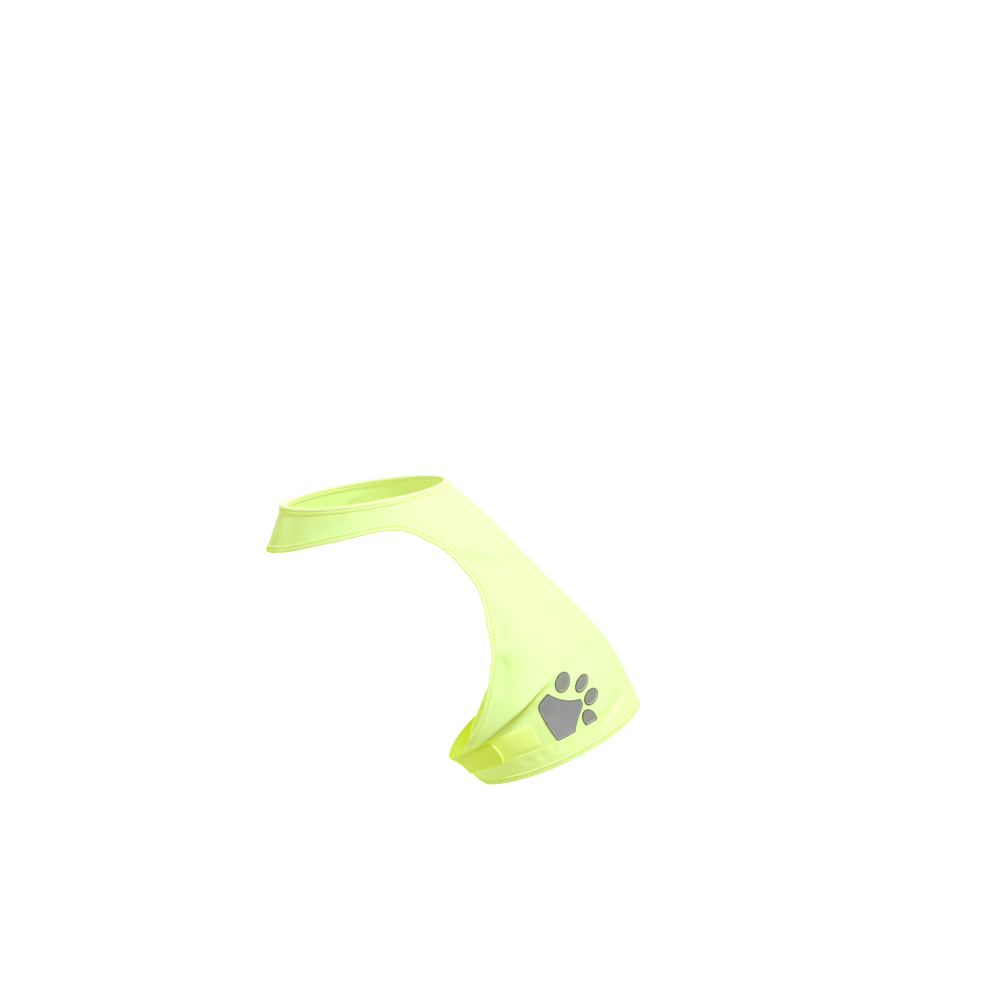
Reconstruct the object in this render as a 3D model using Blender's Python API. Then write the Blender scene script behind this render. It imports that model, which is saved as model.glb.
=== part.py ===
"""Dog safety vest, size S, worn shape, empty.

One back panel with two neck arms, bound edges, a sewn hem band, a belly strap
that closes on the left side, a throat closure, and a paw of reflective tape
on each flank.  The panel is laid over a plain bent tube, the general figure
that a vest of this cut is drafted for.

Sizes are in millimetres and become metres when a mesh is made.  +Z is up, the
wearer faces -X and its left side is at -Y.  The origin is on the spine line,
at the withers, where the vest hangs on its wearer.
"""
import math

import bmesh
import bpy
from mathutils import Matrix, Vector

MM = 0.001

# ---------------------------------------------------------------- driving sizes
CLOTH = 1.2            # back panel, with its coating
GAP = 0.3              # between pieces that are sewn or pressed together
BINDING = 0.8          # thickness of the bias tape
BINDING_WIDTH = 6.0    # of each leg of the folded tape
BAND = 1.0             # hem band
TAPE_LOOP = 1.0        # loop side of the closures
TAPE_HOOK = 0.8        # hook side of the closures
STRAP = 1.4            # elastic webbing
STRAP_WIDTH = 26.0
PATCH_WIDTH = 23.0
REFLECTIVE = 0.7       # tape of the paw

# The general figure: a bent tube of elliptical sections, from the neck edge to
# just past the hem.  Each row has the section's point on the back, its point
# on the chest or belly, and half of its width.
FIGURE_COLUMNS = ("name", "back_x", "back_z", "front_x", "front_z", "half_width")
FIGURE = (
    ("neck edge", -12, 8, -173, -18, 62),
    ("shoulders", 26, -24, -190, -93, 82),
    ("fore chest", 74, -73, -148, -160, 92),
    ("chest", 122, -121, -86, -219, 95),
    ("last rib", 156, -161, -33, -256, 95),
    ("strap", 178, -206, 9, -281, 91),
    ("loin", 185, -231, 24, -309, 89),
)

# The cut of one half of the panel.  Each row runs over the cloth from the
# armhole edge to the far edge, which is the neck edge down to the withers and
# the spine line after them.  "along" is millimetres down the back from the
# neck edge, "around" is degrees from the spine line, "bow" bends the row
# towards the hem, "curl" lifts its armhole end to round the hem's corner, and
# "steps" is how many strips lead to the next row.
CUT_COLUMNS = ("name", "edge_along", "edge_around", "far_along", "far_around",
               "bow", "curl", "steps")
CUT = (
    ("arm end", 31, 199, 0, 199, 0, 0, 4),
    ("chest", 31, 168, 0, 166, 0, 0, 3),
    ("throat", 29, 136, 0, 130, 0, 0, 3),
    ("arm", 27, 104, 0, 92, 0, 0, 3),
    ("arm root", 30, 69, 0, 46, 0, 0, 5),
    ("withers", 58, 52.5, 0, 0, 0, 0, 2),
    ("shoulder blade", 92, 50, 38, 0, 0, 0, 2),
    ("upper armhole", 120, 53, 80, 0, 0, 0, 2),
    ("armhole", 150, 62.5, 120, 0, 0, 0, 2),
    ("elbow", 178, 72.5, 147, 0, 0, 0, 2),
    ("lower armhole", 204, 87, 168, 0, 0, 0, 1),
    ("above the tuck", 230, 104, 182, 0, 0, 0, 0),
    ("tuck", 253.5, 128, 200, 0, -2, 0, 0),
    ("band seam", 277.5, 155, 277, 0, 5.5, 0, 2),
    ("binding seam", 295, 157, 294, 0, 3, 7.5, 1),
    ("hem", 302.5, 154.5, 302, 0, 3, 7.5, 0),
)
COLUMNS = 12           # strips across one half
CURL_SHARE = 0.11      # share of a row over which its curl fades

# The tuck above the strap, cut across: each row has its distance below the fold
# line in the flat cloth, the same once it is folded, and how far it stands out.
TUCK_COLUMNS = ("name", "flat", "folded", "out")
TUCK = (
    ("rise", -20, -19.5, 2.4),
    ("brow", -12, -10, 5.8),
    ("shoulder", -6, -2.4, 8.6),
    ("lip", -2, 2.2, 8.6),
    ("under", 0, 1.6, 6.4),
    ("return", 3, -1.2, 3.4),
    ("root", 6, -2.4, 0.9),
    ("floor", 10, 3.0, 0.0),
)
TUCK_AT_EDGE = 0.15    # of its depth, at the armhole edge
TUCK_NARROWS = 0.65    # of its breadth, at the armhole edge
TUCK_GROWS = (0.03, 0.22)  # shares of the fold line over which it grows whole
TUCK_FULL = 0.25       # share of the fold line up to which it is whole
TUCK_END = 0.66        # share of the fold line where it has run out
TUCK_DEPTH = {1: 1.0, -1: 0.85}
FLAT_ROWS = (0.35, 0.70)   # further rows between the tuck and the band
BAND_MARGIN = 0.015        # of a row, by which the last of them clears the band
SLANT_LIMIT = 0.35         # sine of the smallest angle reckoned at a slanted row's end

# The paw, upright, from the middle of its pad: y towards the toes.
PAW_AT = (259.5, 68.0)     # along, around
PAW_TURN = 86.0            # degrees clockwise from the line to the neck
PAD_TURN = 10.0            # the pad's own turn, further clockwise
PAD_HALF_WIDTH = 25.0
PAD_LOBE = 1.0             # height of the side lobes above the middle
PAD_SIDE = 11.0            # length of the short sides below the lobes
PAD_TIP = 23.5
PAD_TIP_BLUNT = 3.5        # half of the blunt tip
PAD_BASE = 17.5
PAD_HOLLOW = 4.2           # of the flanks between the tip and the lobes
TOE_COLUMNS = ("name", "x", "y", "length", "width", "lean")
TOES = (
    ("toe_outer_left", -22.4, 23.5, 20.5, 13.5, -27),
    ("toe_inner_left", -7.2, 37.5, 20.0, 12.0, -13),
    ("toe_inner_right", 9.0, 35.8, 18.5, 12.5, -6),
    ("toe_outer_right", 22.8, 19.3, 18.5, 13.5, -80),
)

# The belly strap and its closure.
STRAP_END = 112            # degrees around, where each end lies on the flank
STRAP_ON_FLANK = 269.0     # millimetres along, at its ends
STRAP_DROP = 13.0          # further along under the belly
STRAP_LIFT = 3.3           # inner face above the panel's middle
STRAP_STEPS = 34
HOOK_STATIONS = (1, 5)     # of the strap's steps, those that carry the hook tape
PATCH_ALONG = 265.5
PATCH_START = 86           # degrees around, at the patch's rear end
PATCH_END = 130

# The throat closure, where the left arm lies over the right one.
THROAT_LIFT = 4.2          # between the middles of the two arms
THROAT_RAMP = (138, 154)   # degrees around, where the left arm steps up

WITHERS_ALONG = 15.0       # the origin, down the back from the neck edge
CUTTER_REACH = 30.0        # of the outlines, each way through the cloth


# ------------------------------------------------------------------- the figure
def column(table, heads, head):
    """One named column of a table, as a list."""
    return [row[heads.index(head)] for row in table]


def curve_at(values, place):
    """A smooth curve through evenly numbered values, read at a real-valued place."""
    last = len(values) - 1
    low = min(max(int(math.floor(place)), 0), last - 1)
    part = place - low

    def value(index):
        if index < 0:
            return 2 * values[0] - values[1]
        if index > last:
            return 2 * values[last] - values[last - 1]
        return values[index]

    before, start, end, after = (value(low + k) for k in (-1, 0, 1, 2))
    linear = end - before
    square = 2 * before - 5 * start + 4 * end - after
    cube = 3 * (start - end) + after - before
    return 0.5 * (2 * start + part * (linear + part * (square + part * cube)))


def straight_at(values, place):
    """The same, with straight runs between the values."""
    low = min(max(int(math.floor(place)), 0), len(values) - 2)
    return values[low] + (place - low) * (values[low + 1] - values[low])


def smooth_step(start, end, value):
    """0 before start, 1 after end, and a smooth rise between."""
    part = min(max((value - start) / (end - start), 0.0), 1.0)
    return part * part * (3 - 2 * part)


BACK_X = column(FIGURE, FIGURE_COLUMNS, "back_x")
BACK_Z = column(FIGURE, FIGURE_COLUMNS, "back_z")
FRONT_X = column(FIGURE, FIGURE_COLUMNS, "front_x")
FRONT_Z = column(FIGURE, FIGURE_COLUMNS, "front_z")
HALF_WIDTH = column(FIGURE, FIGURE_COLUMNS, "half_width")


def back_runs():
    """Distance down the back at which each section of the figure lies."""
    runs = [0.0]
    for k in range(len(FIGURE) - 1):
        runs.append(runs[-1] + math.dist((BACK_X[k], BACK_Z[k]), (BACK_X[k + 1], BACK_Z[k + 1])))
    return runs


BACK_RUNS = back_runs()


def section_place(along):
    """The real-valued number of the section at a distance down the back."""
    k = 0
    while k < len(BACK_RUNS) - 2 and along > BACK_RUNS[k + 1]:
        k += 1
    return k + (along - BACK_RUNS[k]) / (BACK_RUNS[k + 1] - BACK_RUNS[k])


def tube(along, around):
    """A point of the figure.  Positive degrees are on the wearer's left."""
    place = section_place(along)
    back = Vector((curve_at(BACK_X, place), 0, curve_at(BACK_Z, place)))
    front = Vector((curve_at(FRONT_X, place), 0, curve_at(FRONT_Z, place)))
    angle = math.radians(around)
    side = Vector((0, -curve_at(HALF_WIDTH, place) * math.sin(angle), 0))
    return (back + front) / 2 + (back - front) / 2 * math.cos(angle) + side


def tube_slopes(along, around):
    """How a point moves for one millimetre along and for one degree around."""
    by_along = (tube(along + 1, around) - tube(along - 1, around)) / 2
    by_around = tube(along, around + 0.5) - tube(along, around - 0.5)
    return by_along, by_around


def tube_normal(along, around):
    by_along, by_around = tube_slopes(along, around)
    return by_around.cross(by_along).normalized()


WITHERS = tube(WITHERS_ALONG, 0) - tube_normal(WITHERS_ALONG, 0) * CLOTH / 2


def skin(along, around, out=0.0):
    """The cloth's middle surface, or a point moved out from it."""
    return tube(along, around) - WITHERS + tube_normal(along, around) * out


def walk(along, around, direction, distance):
    """Steps over the figure in a direction, and gives the new along and around."""
    by_along, by_around = tube_slopes(along, around)
    aa = by_along.dot(by_along)
    ab = by_along.dot(by_around)
    bb = by_around.dot(by_around)
    da = direction.dot(by_along)
    db = direction.dot(by_around)
    scale = distance / (aa * bb - ab * ab)
    return along + scale * (da * bb - db * ab), around + scale * (db * aa - da * ab)


# ----------------------------------------------------------------- mesh helpers
def material(name, colour, roughness, metallic=0.0):
    made = bpy.data.materials.new(name)
    made.use_nodes = True
    shader = made.node_tree.nodes["Principled BSDF"]
    shader.inputs["Base Color"].default_value = (*colour, 1.0)
    shader.inputs["Roughness"].default_value = roughness
    shader.inputs["Metallic"].default_value = metallic
    made.diffuse_color = (*colour, 1.0)
    return made


def put(name, points, faces, finish):
    """A closed mesh as a named object, smooth, with its sharp edges kept."""
    mesh = bpy.data.meshes.new(name)
    mesh.from_pydata([tuple(p * MM) for p in points], [], faces)
    work = bmesh.new()
    work.from_mesh(mesh)
    bmesh.ops.remove_doubles(work, verts=work.verts, dist=1e-7)
    bmesh.ops.recalc_face_normals(work, faces=work.faces)
    if work.calc_volume(signed=True) < 0:
        bmesh.ops.reverse_faces(work, faces=work.faces)
    work.to_mesh(mesh)
    work.free()
    mesh.shade_smooth()
    mesh.set_sharp_from_angle(angle=math.radians(40))
    mesh.materials.append(finish)
    piece = bpy.data.objects.new(name, mesh)
    bpy.context.scene.collection.objects.link(piece)
    return piece


def shorter(points, a, b, c, d):
    """True if a to c is the shorter way across the cell a, b, c, d."""
    return (points[a] - points[c]).length <= (points[b] - points[d]).length


def split_cell(points, a, b, c, d):
    """The cell's two triangles, cut along its shorter diagonal."""
    if shorter(points, a, b, c, d):
        return [(a, b, c), (a, c, d)]
    return [(a, b, d), (b, c, d)]


def rim_edges(faces):
    """Edges that only one face uses, each as that face runs along it."""
    seen = {}
    for face in faces:
        for a, b in zip(face, face[1:] + face[:1]):
            seen[(a, b)] = True
    return [(a, b) for (a, b) in seen if (b, a) not in seen]


def wall(points, normals, faces, low, high):
    """The closed wall between two distances from a sheet."""
    count = len(points)
    solid_points = [p + n * low for p, n in zip(points, normals)]
    solid_points += [p + n * high for p, n in zip(points, normals)]
    solid_faces = [tuple(reversed(face)) for face in faces]
    solid_faces += [tuple(k + count for k in face) for face in faces]
    for a, b in rim_edges(faces):
        solid_faces.append((a, b, b + count, a + count))
    return solid_points, solid_faces


# -------------------------------------------------------------- the panel's cut
EDGE_ALONG = column(CUT, CUT_COLUMNS, "edge_along")
EDGE_AROUND = column(CUT, CUT_COLUMNS, "edge_around")
FAR_ALONG = column(CUT, CUT_COLUMNS, "far_along")
FAR_AROUND = column(CUT, CUT_COLUMNS, "far_around")
BOW = column(CUT, CUT_COLUMNS, "bow")
CURL = column(CUT, CUT_COLUMNS, "curl")
STEPS = column(CUT, CUT_COLUMNS, "steps")
CUT_NAMES = column(CUT, CUT_COLUMNS, "name")
WITHERS_ROW = CUT_NAMES.index("withers")
TUCK_ROW = CUT_NAMES.index("tuck")
BAND_ROW = CUT_NAMES.index("band seam")
BINDING_ROW = CUT_NAMES.index("binding seam")
HEM_ROW = CUT_NAMES.index("hem")


def cut_place(row, share):
    """Along and around of a point of the cut, share 0 at the armhole edge."""
    edge_along = curve_at(EDGE_ALONG, row)
    edge_around = curve_at(EDGE_AROUND, row)
    far_along = straight_at(FAR_ALONG, row)
    far_around = straight_at(FAR_AROUND, row)
    bow = straight_at(BOW, row) * 4 * share * (1 - share)
    curl = straight_at(CURL, row) * max(1 - share / CURL_SHARE, 0.0) ** 2
    along = edge_along + share * (far_along - edge_along) + bow - curl
    return along, edge_around + share * (far_around - edge_around)


def fold_line(around):
    """How far down the back the tuck's fold line lies, at degrees around."""
    share = 1 - around / EDGE_AROUND[TUCK_ROW]
    along = EDGE_ALONG[TUCK_ROW] + share * (FAR_ALONG[TUCK_ROW] - EDGE_ALONG[TUCK_ROW])
    return along + BOW[TUCK_ROW] * 4 * share * (1 - share)


def tuck_fold(around):
    """How much of the tuck is there, from 0 to 1, at degrees around."""
    share = 1 - around / EDGE_AROUND[TUCK_ROW]
    grown = TUCK_AT_EDGE + (1 - TUCK_AT_EDGE) * smooth_step(*TUCK_GROWS, share)
    return grown * (1 - smooth_step(TUCK_FULL, TUCK_END, share))


def below_fold(tuck, around):
    """How far below the fold line a tuck row lies, at degrees around."""
    _, flat, folded, _ = tuck
    share = 1 - around / EDGE_AROUND[TUCK_ROW]
    breadth = TUCK_NARROWS + (1 - TUCK_NARROWS) * smooth_step(0, TUCK_GROWS[1], share)
    return (flat + (folded - flat) * tuck_fold(around)) * breadth


def tuck_edge(tuck):
    """The place in the cut where a tuck row meets the armhole edge."""
    low = TUCK_ROW - 2.0
    high = TUCK_ROW + 1.0
    for _ in range(40):
        middle = (low + high) / 2
        along, around = cut_place(middle, 0)
        if along < fold_line(around) + below_fold(tuck, around):
            low = middle
        else:
            high = middle
    return low


def tuck_place(tuck, share):
    """Along, around and stand-out of a point of one of the tuck's rows."""
    around = curve_at(EDGE_AROUND, tuck_edge(tuck)) * (1 - share)
    return fold_line(around) + below_fold(tuck, around), around, tuck[3] * tuck_fold(around)


def grid_rows():
    """The grid's rows: each one's number in the cut, and its tuck row or None."""
    rows = []
    for k, steps in enumerate(STEPS):
        rows += [(k + step / steps, None) for step in range(steps)]
        if k == WITHERS_ROW:
            rows.insert(-1, (k + BINDING_WIDTH / FAR_ALONG[k + 1], None))
        if k == TUCK_ROW:
            rows += [(k + tuck[1] / 100, tuck) for tuck in TUCK]
            rows += [(k + part, None) for part in FLAT_ROWS]
            rows.append((BAND_ROW - BAND_MARGIN, None))
    return rows + [(HEM_ROW, None)]


ROWS = grid_rows()


def grid_place(index, share):
    """Along, around and stand-out of a point of a grid row."""
    row, tuck = ROWS[index]
    if tuck:
        return tuck_place(tuck, share)
    if TUCK_ROW < row < BAND_ROW:
        along, around, _ = tuck_place(TUCK[-1], share)
        band_along, band_around = cut_place(BAND_ROW, share)
        part = row - TUCK_ROW
        return along + (band_along - along) * part, around + (band_around - around) * part, 0.0
    return (*cut_place(row, share), 0.0)


def edge_slant(index, direction):
    """Sine of the angle between a row and the armhole edge, where they meet."""
    row, tuck = ROWS[index]
    if row > BAND_ROW:
        return 1.0
    place = tuck_edge(tuck) if tuck else row
    ahead = skin(*cut_place(place + 0.1, 0)) - skin(*cut_place(place, 0))
    return max(ahead.cross(direction).length / ahead.length / direction.length, SLANT_LIMIT)


def row_shares(index):
    """Where the points of a row lie: the first and last strips fit the binding."""
    stops = [skin(*grid_place(index, k / 12)[:2]) for k in range(13)]
    length = sum((b - a).length for a, b in zip(stops, stops[1:]))
    first = BINDING_WIDTH / length / edge_slant(index, stops[1] - stops[0])
    neck = 1 - smooth_step(WITHERS_ROW, WITHERS_ROW + 2, ROWS[index][0])
    even = (1 - first) / (COLUMNS - 1)
    last = even + neck * (first - even)
    inner = (1 - first - last) / (COLUMNS - 2)
    return [0.0] + [first + k * inner for k in range(COLUMNS - 1)] + [1.0]


def panel_point(side, index, share):
    """A point of one half of the panel's middle surface, tuck and overlap included."""
    along, around, out = grid_place(index, share)
    over = side > 0 and ROWS[index][0] < WITHERS_ROW
    lift = THROAT_LIFT * smooth_step(*THROAT_RAMP, around) if over else 0.0
    return skin(along, side * around, out * TUCK_DEPTH[side] + lift)


def panel_sheet():
    """The panel's middle surface: points, normals, cells and the grid's numbers."""
    points = []
    number = {}
    for side in (1, -1):
        for i in range(len(ROWS)):
            for j, share in enumerate(row_shares(i)):
                if side < 0 and j == COLUMNS and ROWS[i][0] >= WITHERS_ROW:
                    number[side, i, j] = number[1, i, j]
                    continue
                number[side, i, j] = len(points)
                points.append(panel_point(side, i, share))
    cells = {}
    for side in (1, -1):
        for i in range(len(ROWS) - 1):
            for j in range(COLUMNS):
                corners = [number[side, i, j], number[side, i + 1, j],
                           number[side, i + 1, j + 1], number[side, i, j + 1]]
                cells[side, i, j] = split_cell(points, *corners[::side])
    normals = sheet_normals(points, [face for pair in cells.values() for face in pair])
    return points, normals, cells, number


def sheet_normals(points, faces):
    """Normals at the points of an open sheet."""
    work = bmesh.new()
    for p in points:
        work.verts.new(p)
    work.verts.ensure_lookup_table()
    for face in faces:
        work.faces.new([work.verts[k] for k in face])
    work.normal_update()
    normals = [v.normal.copy() for v in work.verts]
    work.free()
    return normals


def part_of_sheet(sheet, keep):
    """The cells of the panel's sheet for which keep(side, i, j) is true."""
    points, normals, cells, _ = sheet
    chosen = [face for key, pair in cells.items() if keep(*key) for face in pair]
    used = sorted({k for face in chosen for k in face})
    renumber = {k: n for n, k in enumerate(used)}
    faces = [tuple(renumber[k] for k in face) for face in chosen]
    return [points[k] for k in used], [normals[k] for k in used], faces


def row_index(place):
    """Number of the first grid row at or past a place of the cut."""
    return next(i for i, (row, _) in enumerate(ROWS) if row >= place - 1e-6)


def tuck_index(name):
    """Number of a tuck row in the grid."""
    return next(i for i, (_, tuck) in enumerate(ROWS) if tuck and tuck[0] == name)


# ----------------------------------------------------------------------- pieces
LEG = CLOTH / 2 + GAP              # from the cloth's middle to the binding
LEG_OVER_BAND = LEG + BAND + GAP


def channel_section(edge, inner, edge_normal, inner_normal, way, over):
    """The folded tape's section: a U round the edge of the cloth."""
    beyond = way.cross(edge_normal).normalized()
    if beyond.dot(edge - inner) < 0:
        beyond = -beyond
    return [
        inner + inner_normal * (over + BINDING),
        edge + edge_normal * (over + BINDING),
        edge + beyond * (GAP + BINDING) + edge_normal * over * 0.7,
        edge + beyond * (GAP + BINDING) - edge_normal * LEG * 0.7,
        edge - edge_normal * (LEG + BINDING),
        inner - inner_normal * (LEG + BINDING),
        inner - inner_normal * LEG,
        edge + beyond * GAP - edge_normal * LEG,
        edge + beyond * GAP + edge_normal * over,
        inner + inner_normal * over,
    ]


EDGE_POINTS = (1, 2, 3, 4, 7, 8)   # of the section, those at the cloth's edge


def channel(sheet, nodes):
    """A binding over points of the grid: each node is (edge, inner, over)."""
    points, normals, _, number = sheet
    keys = [(number[edge], number[inner]) for edge, inner, _ in nodes]
    solid_points = []
    for k, (edge, inner) in enumerate(keys):
        before = next((e for e, _ in reversed(keys[:k]) if e != edge), edge)
        after = next((e for e, _ in keys[k + 1:] if e != edge), edge)
        solid_points += channel_section(points[edge], points[inner], normals[edge],
                                        normals[inner], points[after] - points[before],
                                        nodes[k][2])
    size = len(solid_points) // len(nodes)
    faces = []
    for k in range(len(nodes) - 1):
        from_edge = shorter(points, keys[k][0], keys[k][1], keys[k + 1][1], keys[k + 1][0])
        for m in range(size):
            a = k * size + m
            b = k * size + (m + 1) % size
            if (m in EDGE_POINTS) == from_edge:
                faces += [(a, b, b + size), (a, b + size, a + size)]
            else:
                faces += [(a, b, a + size), (b, b + size, a + size)]
    faces.append(tuple(range(size)))
    faces.append(tuple(reversed(range(len(solid_points) - size, len(solid_points)))))
    return solid_points, faces


def add_neck_binding(sheet, finish):
    """The binding along the neck edge, from one arm's end to the other's."""
    last = row_index(WITHERS_ROW)
    left = [((1, i, COLUMNS), (1, i, COLUMNS - 1), LEG) for i in range(last + 1)]
    spine = [((1, last, COLUMNS), (1, last + 1, COLUMNS), LEG)]
    right = [((-1, i, COLUMNS), (-1, i, COLUMNS - 1), LEG) for i in reversed(range(last + 1))]
    put("binding_neck", *channel(sheet, left + spine + right), finish)


def outer_nodes(side):
    """The outer binding's nodes: an armhole edge, the corner and the hem to the spine."""
    band = row_index(BAND_ROW)
    seam = row_index(BINDING_ROW)
    hem = row_index(HEM_ROW)
    nodes = [((side, i, 0), (side, i, 1), LEG) for i in range(band - 1)]
    for i in range(band, hem + 1):
        nodes.append(((side, i, 0), (side, min(i, seam), 1), LEG_OVER_BAND))
    for j in range(1, COLUMNS + 1):
        nodes.append(((side, hem, j), (side, seam, j), LEG_OVER_BAND))
    return nodes


def add_outer_binding(sheet, finish):
    """One tape down the left armhole edge, round the hem and up the right one."""
    nodes = outer_nodes(1) + list(reversed(outer_nodes(-1)[:-1]))
    put("binding_outer", *channel(sheet, nodes), finish)


def add_hem_band(sheet, finish):
    first = row_index(BAND_ROW)
    points, normals, faces = part_of_sheet(sheet, lambda side, i, j: i >= first)
    put("hem_band", *wall(points, normals, faces, LEG, LEG + BAND), finish)


def beside(path, k, reach):
    """A place beside a path's station, a distance from it.  Stations: along, around, lift."""
    along, around, _ = path[k]
    before = skin(*path[max(k - 1, 0)][:2])
    after = skin(*path[min(k + 1, len(path) - 1)][:2])
    across = tube_normal(along, around).cross(after - before).normalized()
    return walk(along, around, across, reach)


def ribbon(path, width, low, high):
    """A flat strip over the figure, along a path."""
    points = []
    normals = []
    for k, (_, _, lift) in enumerate(path):
        for reach in (-width / 2, 0, width / 2):
            place = beside(path, k, reach)
            points.append(skin(*place, lift))
            normals.append(tube_normal(*place))
    faces = []
    for a in range(0, len(points) - 3, 3):
        for k in (a, a + 1):
            faces += split_cell(points, k, k + 1, k + 4, k + 3)
    return wall(points, normals, faces, low, high)


def strap_along(around):
    """Where the strap's middle line lies, from its place on the flank to the belly."""
    return STRAP_ON_FLANK + STRAP_DROP * smooth_step(STRAP_END, 180, min(around, 360 - around))


def strap_lift(around):
    """The strap stands off over the bound edge, and comes closer under the belly."""
    from_flank = min(around, 360 - around)
    return STRAP_LIFT - (STRAP_LIFT - CLOTH) * smooth_step(164, 178, from_flank)


def strap_path(start, end, steps):
    """Stations of the strap, from one place around to another."""
    path = []
    for k in range(steps + 1):
        around = start + (end - start) * k / steps
        path.append((strap_along(around), around, strap_lift(around)))
    return path


def add_strap(webbing, hooks):
    """The webbing, and the hook tape under its left end."""
    path = strap_path(STRAP_END, 360 - STRAP_END, STRAP_STEPS)
    put("belly_strap", *ribbon(path, STRAP_WIDTH, 0, STRAP), webbing)
    hooked = path[slice(*HOOK_STATIONS)]
    put("strap_hook_tape", *ribbon(hooked, PATCH_WIDTH, -GAP - TAPE_HOOK, -GAP), hooks)


def cut_out(sheet, side, name, first, last, thickness, ring, out, finish):
    """A piece laid on the panel: its own surface, moved out, inside a ring of points."""
    points, normals, faces = part_of_sheet(
        sheet, lambda where, i, j: where == side and first <= i < last)
    piece = put(name, *wall(points, normals, faces, LEG, LEG + thickness), finish)
    cutter_points = [p - out * CUTTER_REACH for p in ring] + [p + out * CUTTER_REACH for p in ring]
    size = len(ring)
    cutter_faces = [tuple(range(size)), tuple(reversed(range(size, 2 * size)))]
    for k in range(size):
        n = (k + 1) % size
        cutter_faces.append((k, n, n + size, k + size))
    cutter = put("cutter_" + name, cutter_points, cutter_faces, finish)
    cutter.hide_render = True
    cutter.display_type = "WIRE"
    cut = piece.modifiers.new("outline", "BOOLEAN")
    cut.operation = "INTERSECT"
    cut.solver = "EXACT"
    cut.object = cutter


def add_patch(sheet, finish):
    """The loop patch on the left flank, which the strap's end closes on."""
    steps = 6
    run = PATCH_END - PATCH_START
    path = [(PATCH_ALONG, PATCH_START + run * k / steps, 0) for k in range(steps + 1)]
    ring = [skin(*beside(path, k, PATCH_WIDTH / 2)) for k in range(steps + 1)]
    ring += [skin(*beside(path, k, -PATCH_WIDTH / 2)) for k in reversed(range(steps + 1))]
    out = tube_normal(PATCH_ALONG, (PATCH_START + PATCH_END) / 2)
    cut_out(sheet, 1, "strap_loop_patch", tuck_index("floor"), row_index(BAND_ROW) - 1,
            TAPE_LOOP, ring, out, finish)


def add_throat_closure(sheet, loops, hooks):
    """Loop tape on the right arm's end, and hook tape under the left arm's end."""
    end = row_index(1)

    def on_arm(side):
        return part_of_sheet(sheet, lambda where, i, j: where == side and i < end
                             and 2 <= j < COLUMNS - 2)

    put("throat_loop_tape", *wall(*on_arm(-1), LEG, LEG + TAPE_LOOP), loops)
    put("throat_hook_tape", *wall(*on_arm(1), -LEG - TAPE_HOOK, -LEG), hooks)


# --------------------------------------------------------------------- the paw
def pad_outline():
    """The pad: a blunt tip between two hollow flanks, short sides and a full base."""
    lobe = (PAD_HALF_WIDTH, PAD_LOBE)
    heel = (PAD_HALF_WIDTH - 2.0, PAD_LOBE - PAD_SIDE)
    flank = arc_between((PAD_TIP_BLUNT, PAD_TIP), lobe, -PAD_HOLLOW, 5)
    side = arc_between(lobe, heel, 1.0, 2)
    base = arc_between(heel, (0.0, -PAD_BASE), 2.0, 4)
    right = flank + side[1:] + base[1:]
    left = [(-x, y) for x, y in reversed(right[:-1])]
    return turned(right + left, PAD_TURN)


def turned(points, degrees):
    """Points turned clockwise about the middle."""
    cos = math.cos(math.radians(degrees))
    sin = math.sin(math.radians(degrees))
    return [(x * cos + y * sin, y * cos - x * sin) for x, y in points]


def arc_between(start, end, rise, steps):
    """Points from start to end on a shallow arc that rises to the left of the way."""
    points = []
    run = (end[0] - start[0], end[1] - start[1])
    length = math.hypot(*run)
    for k in range(steps + 1):
        part = k / steps
        off = rise * 4 * part * (1 - part)
        points.append((start[0] + run[0] * part - run[1] / length * off,
                       start[1] + run[1] * part + run[0] / length * off))
    return points


def toe_outline(x, y, length, width, lean, steps=14):
    angle = math.radians(lean)
    points = []
    for k in range(steps):
        turn = 2 * math.pi * k / steps
        a = width / 2 * math.cos(turn)
        b = length / 2 * math.sin(turn)
        points.append((x + a * math.cos(angle) + b * math.sin(angle),
                       y - a * math.sin(angle) + b * math.cos(angle)))
    return points


def paw_frame(side):
    """Middle of the pad on the panel, with its across, up and out directions."""
    along, around = PAW_AT
    place = skin(along, side * around)
    out = tube_normal(along, side * around)
    to_neck = -tube_slopes(along, side * around)[0]
    to_neck = (to_neck - out * to_neck.dot(out)).normalized()
    turn = Matrix.Rotation(math.radians(-PAW_TURN * side), 3, out)
    up = turn @ to_neck
    across = up.cross(out) * side
    return place, across, up, out


def add_paw(sheet, side, label, finish):
    """Reflective tape on a flank: a pad and four toes."""
    place, across, up, out = paw_frame(side)
    first = row_index(TUCK_ROW - 2)
    last = row_index(BAND_ROW) - 1
    outlines = [("pad", pad_outline())]
    outlines += [(name, toe_outline(*sizes)) for name, *sizes in TOES]
    for name, outline in outlines:
        ring = [place + across * x + up * y for x, y in outline]
        cut_out(sheet, side, "paw_" + name + "_" + label, first, last, REFLECTIVE,
                ring, out, finish)


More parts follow.
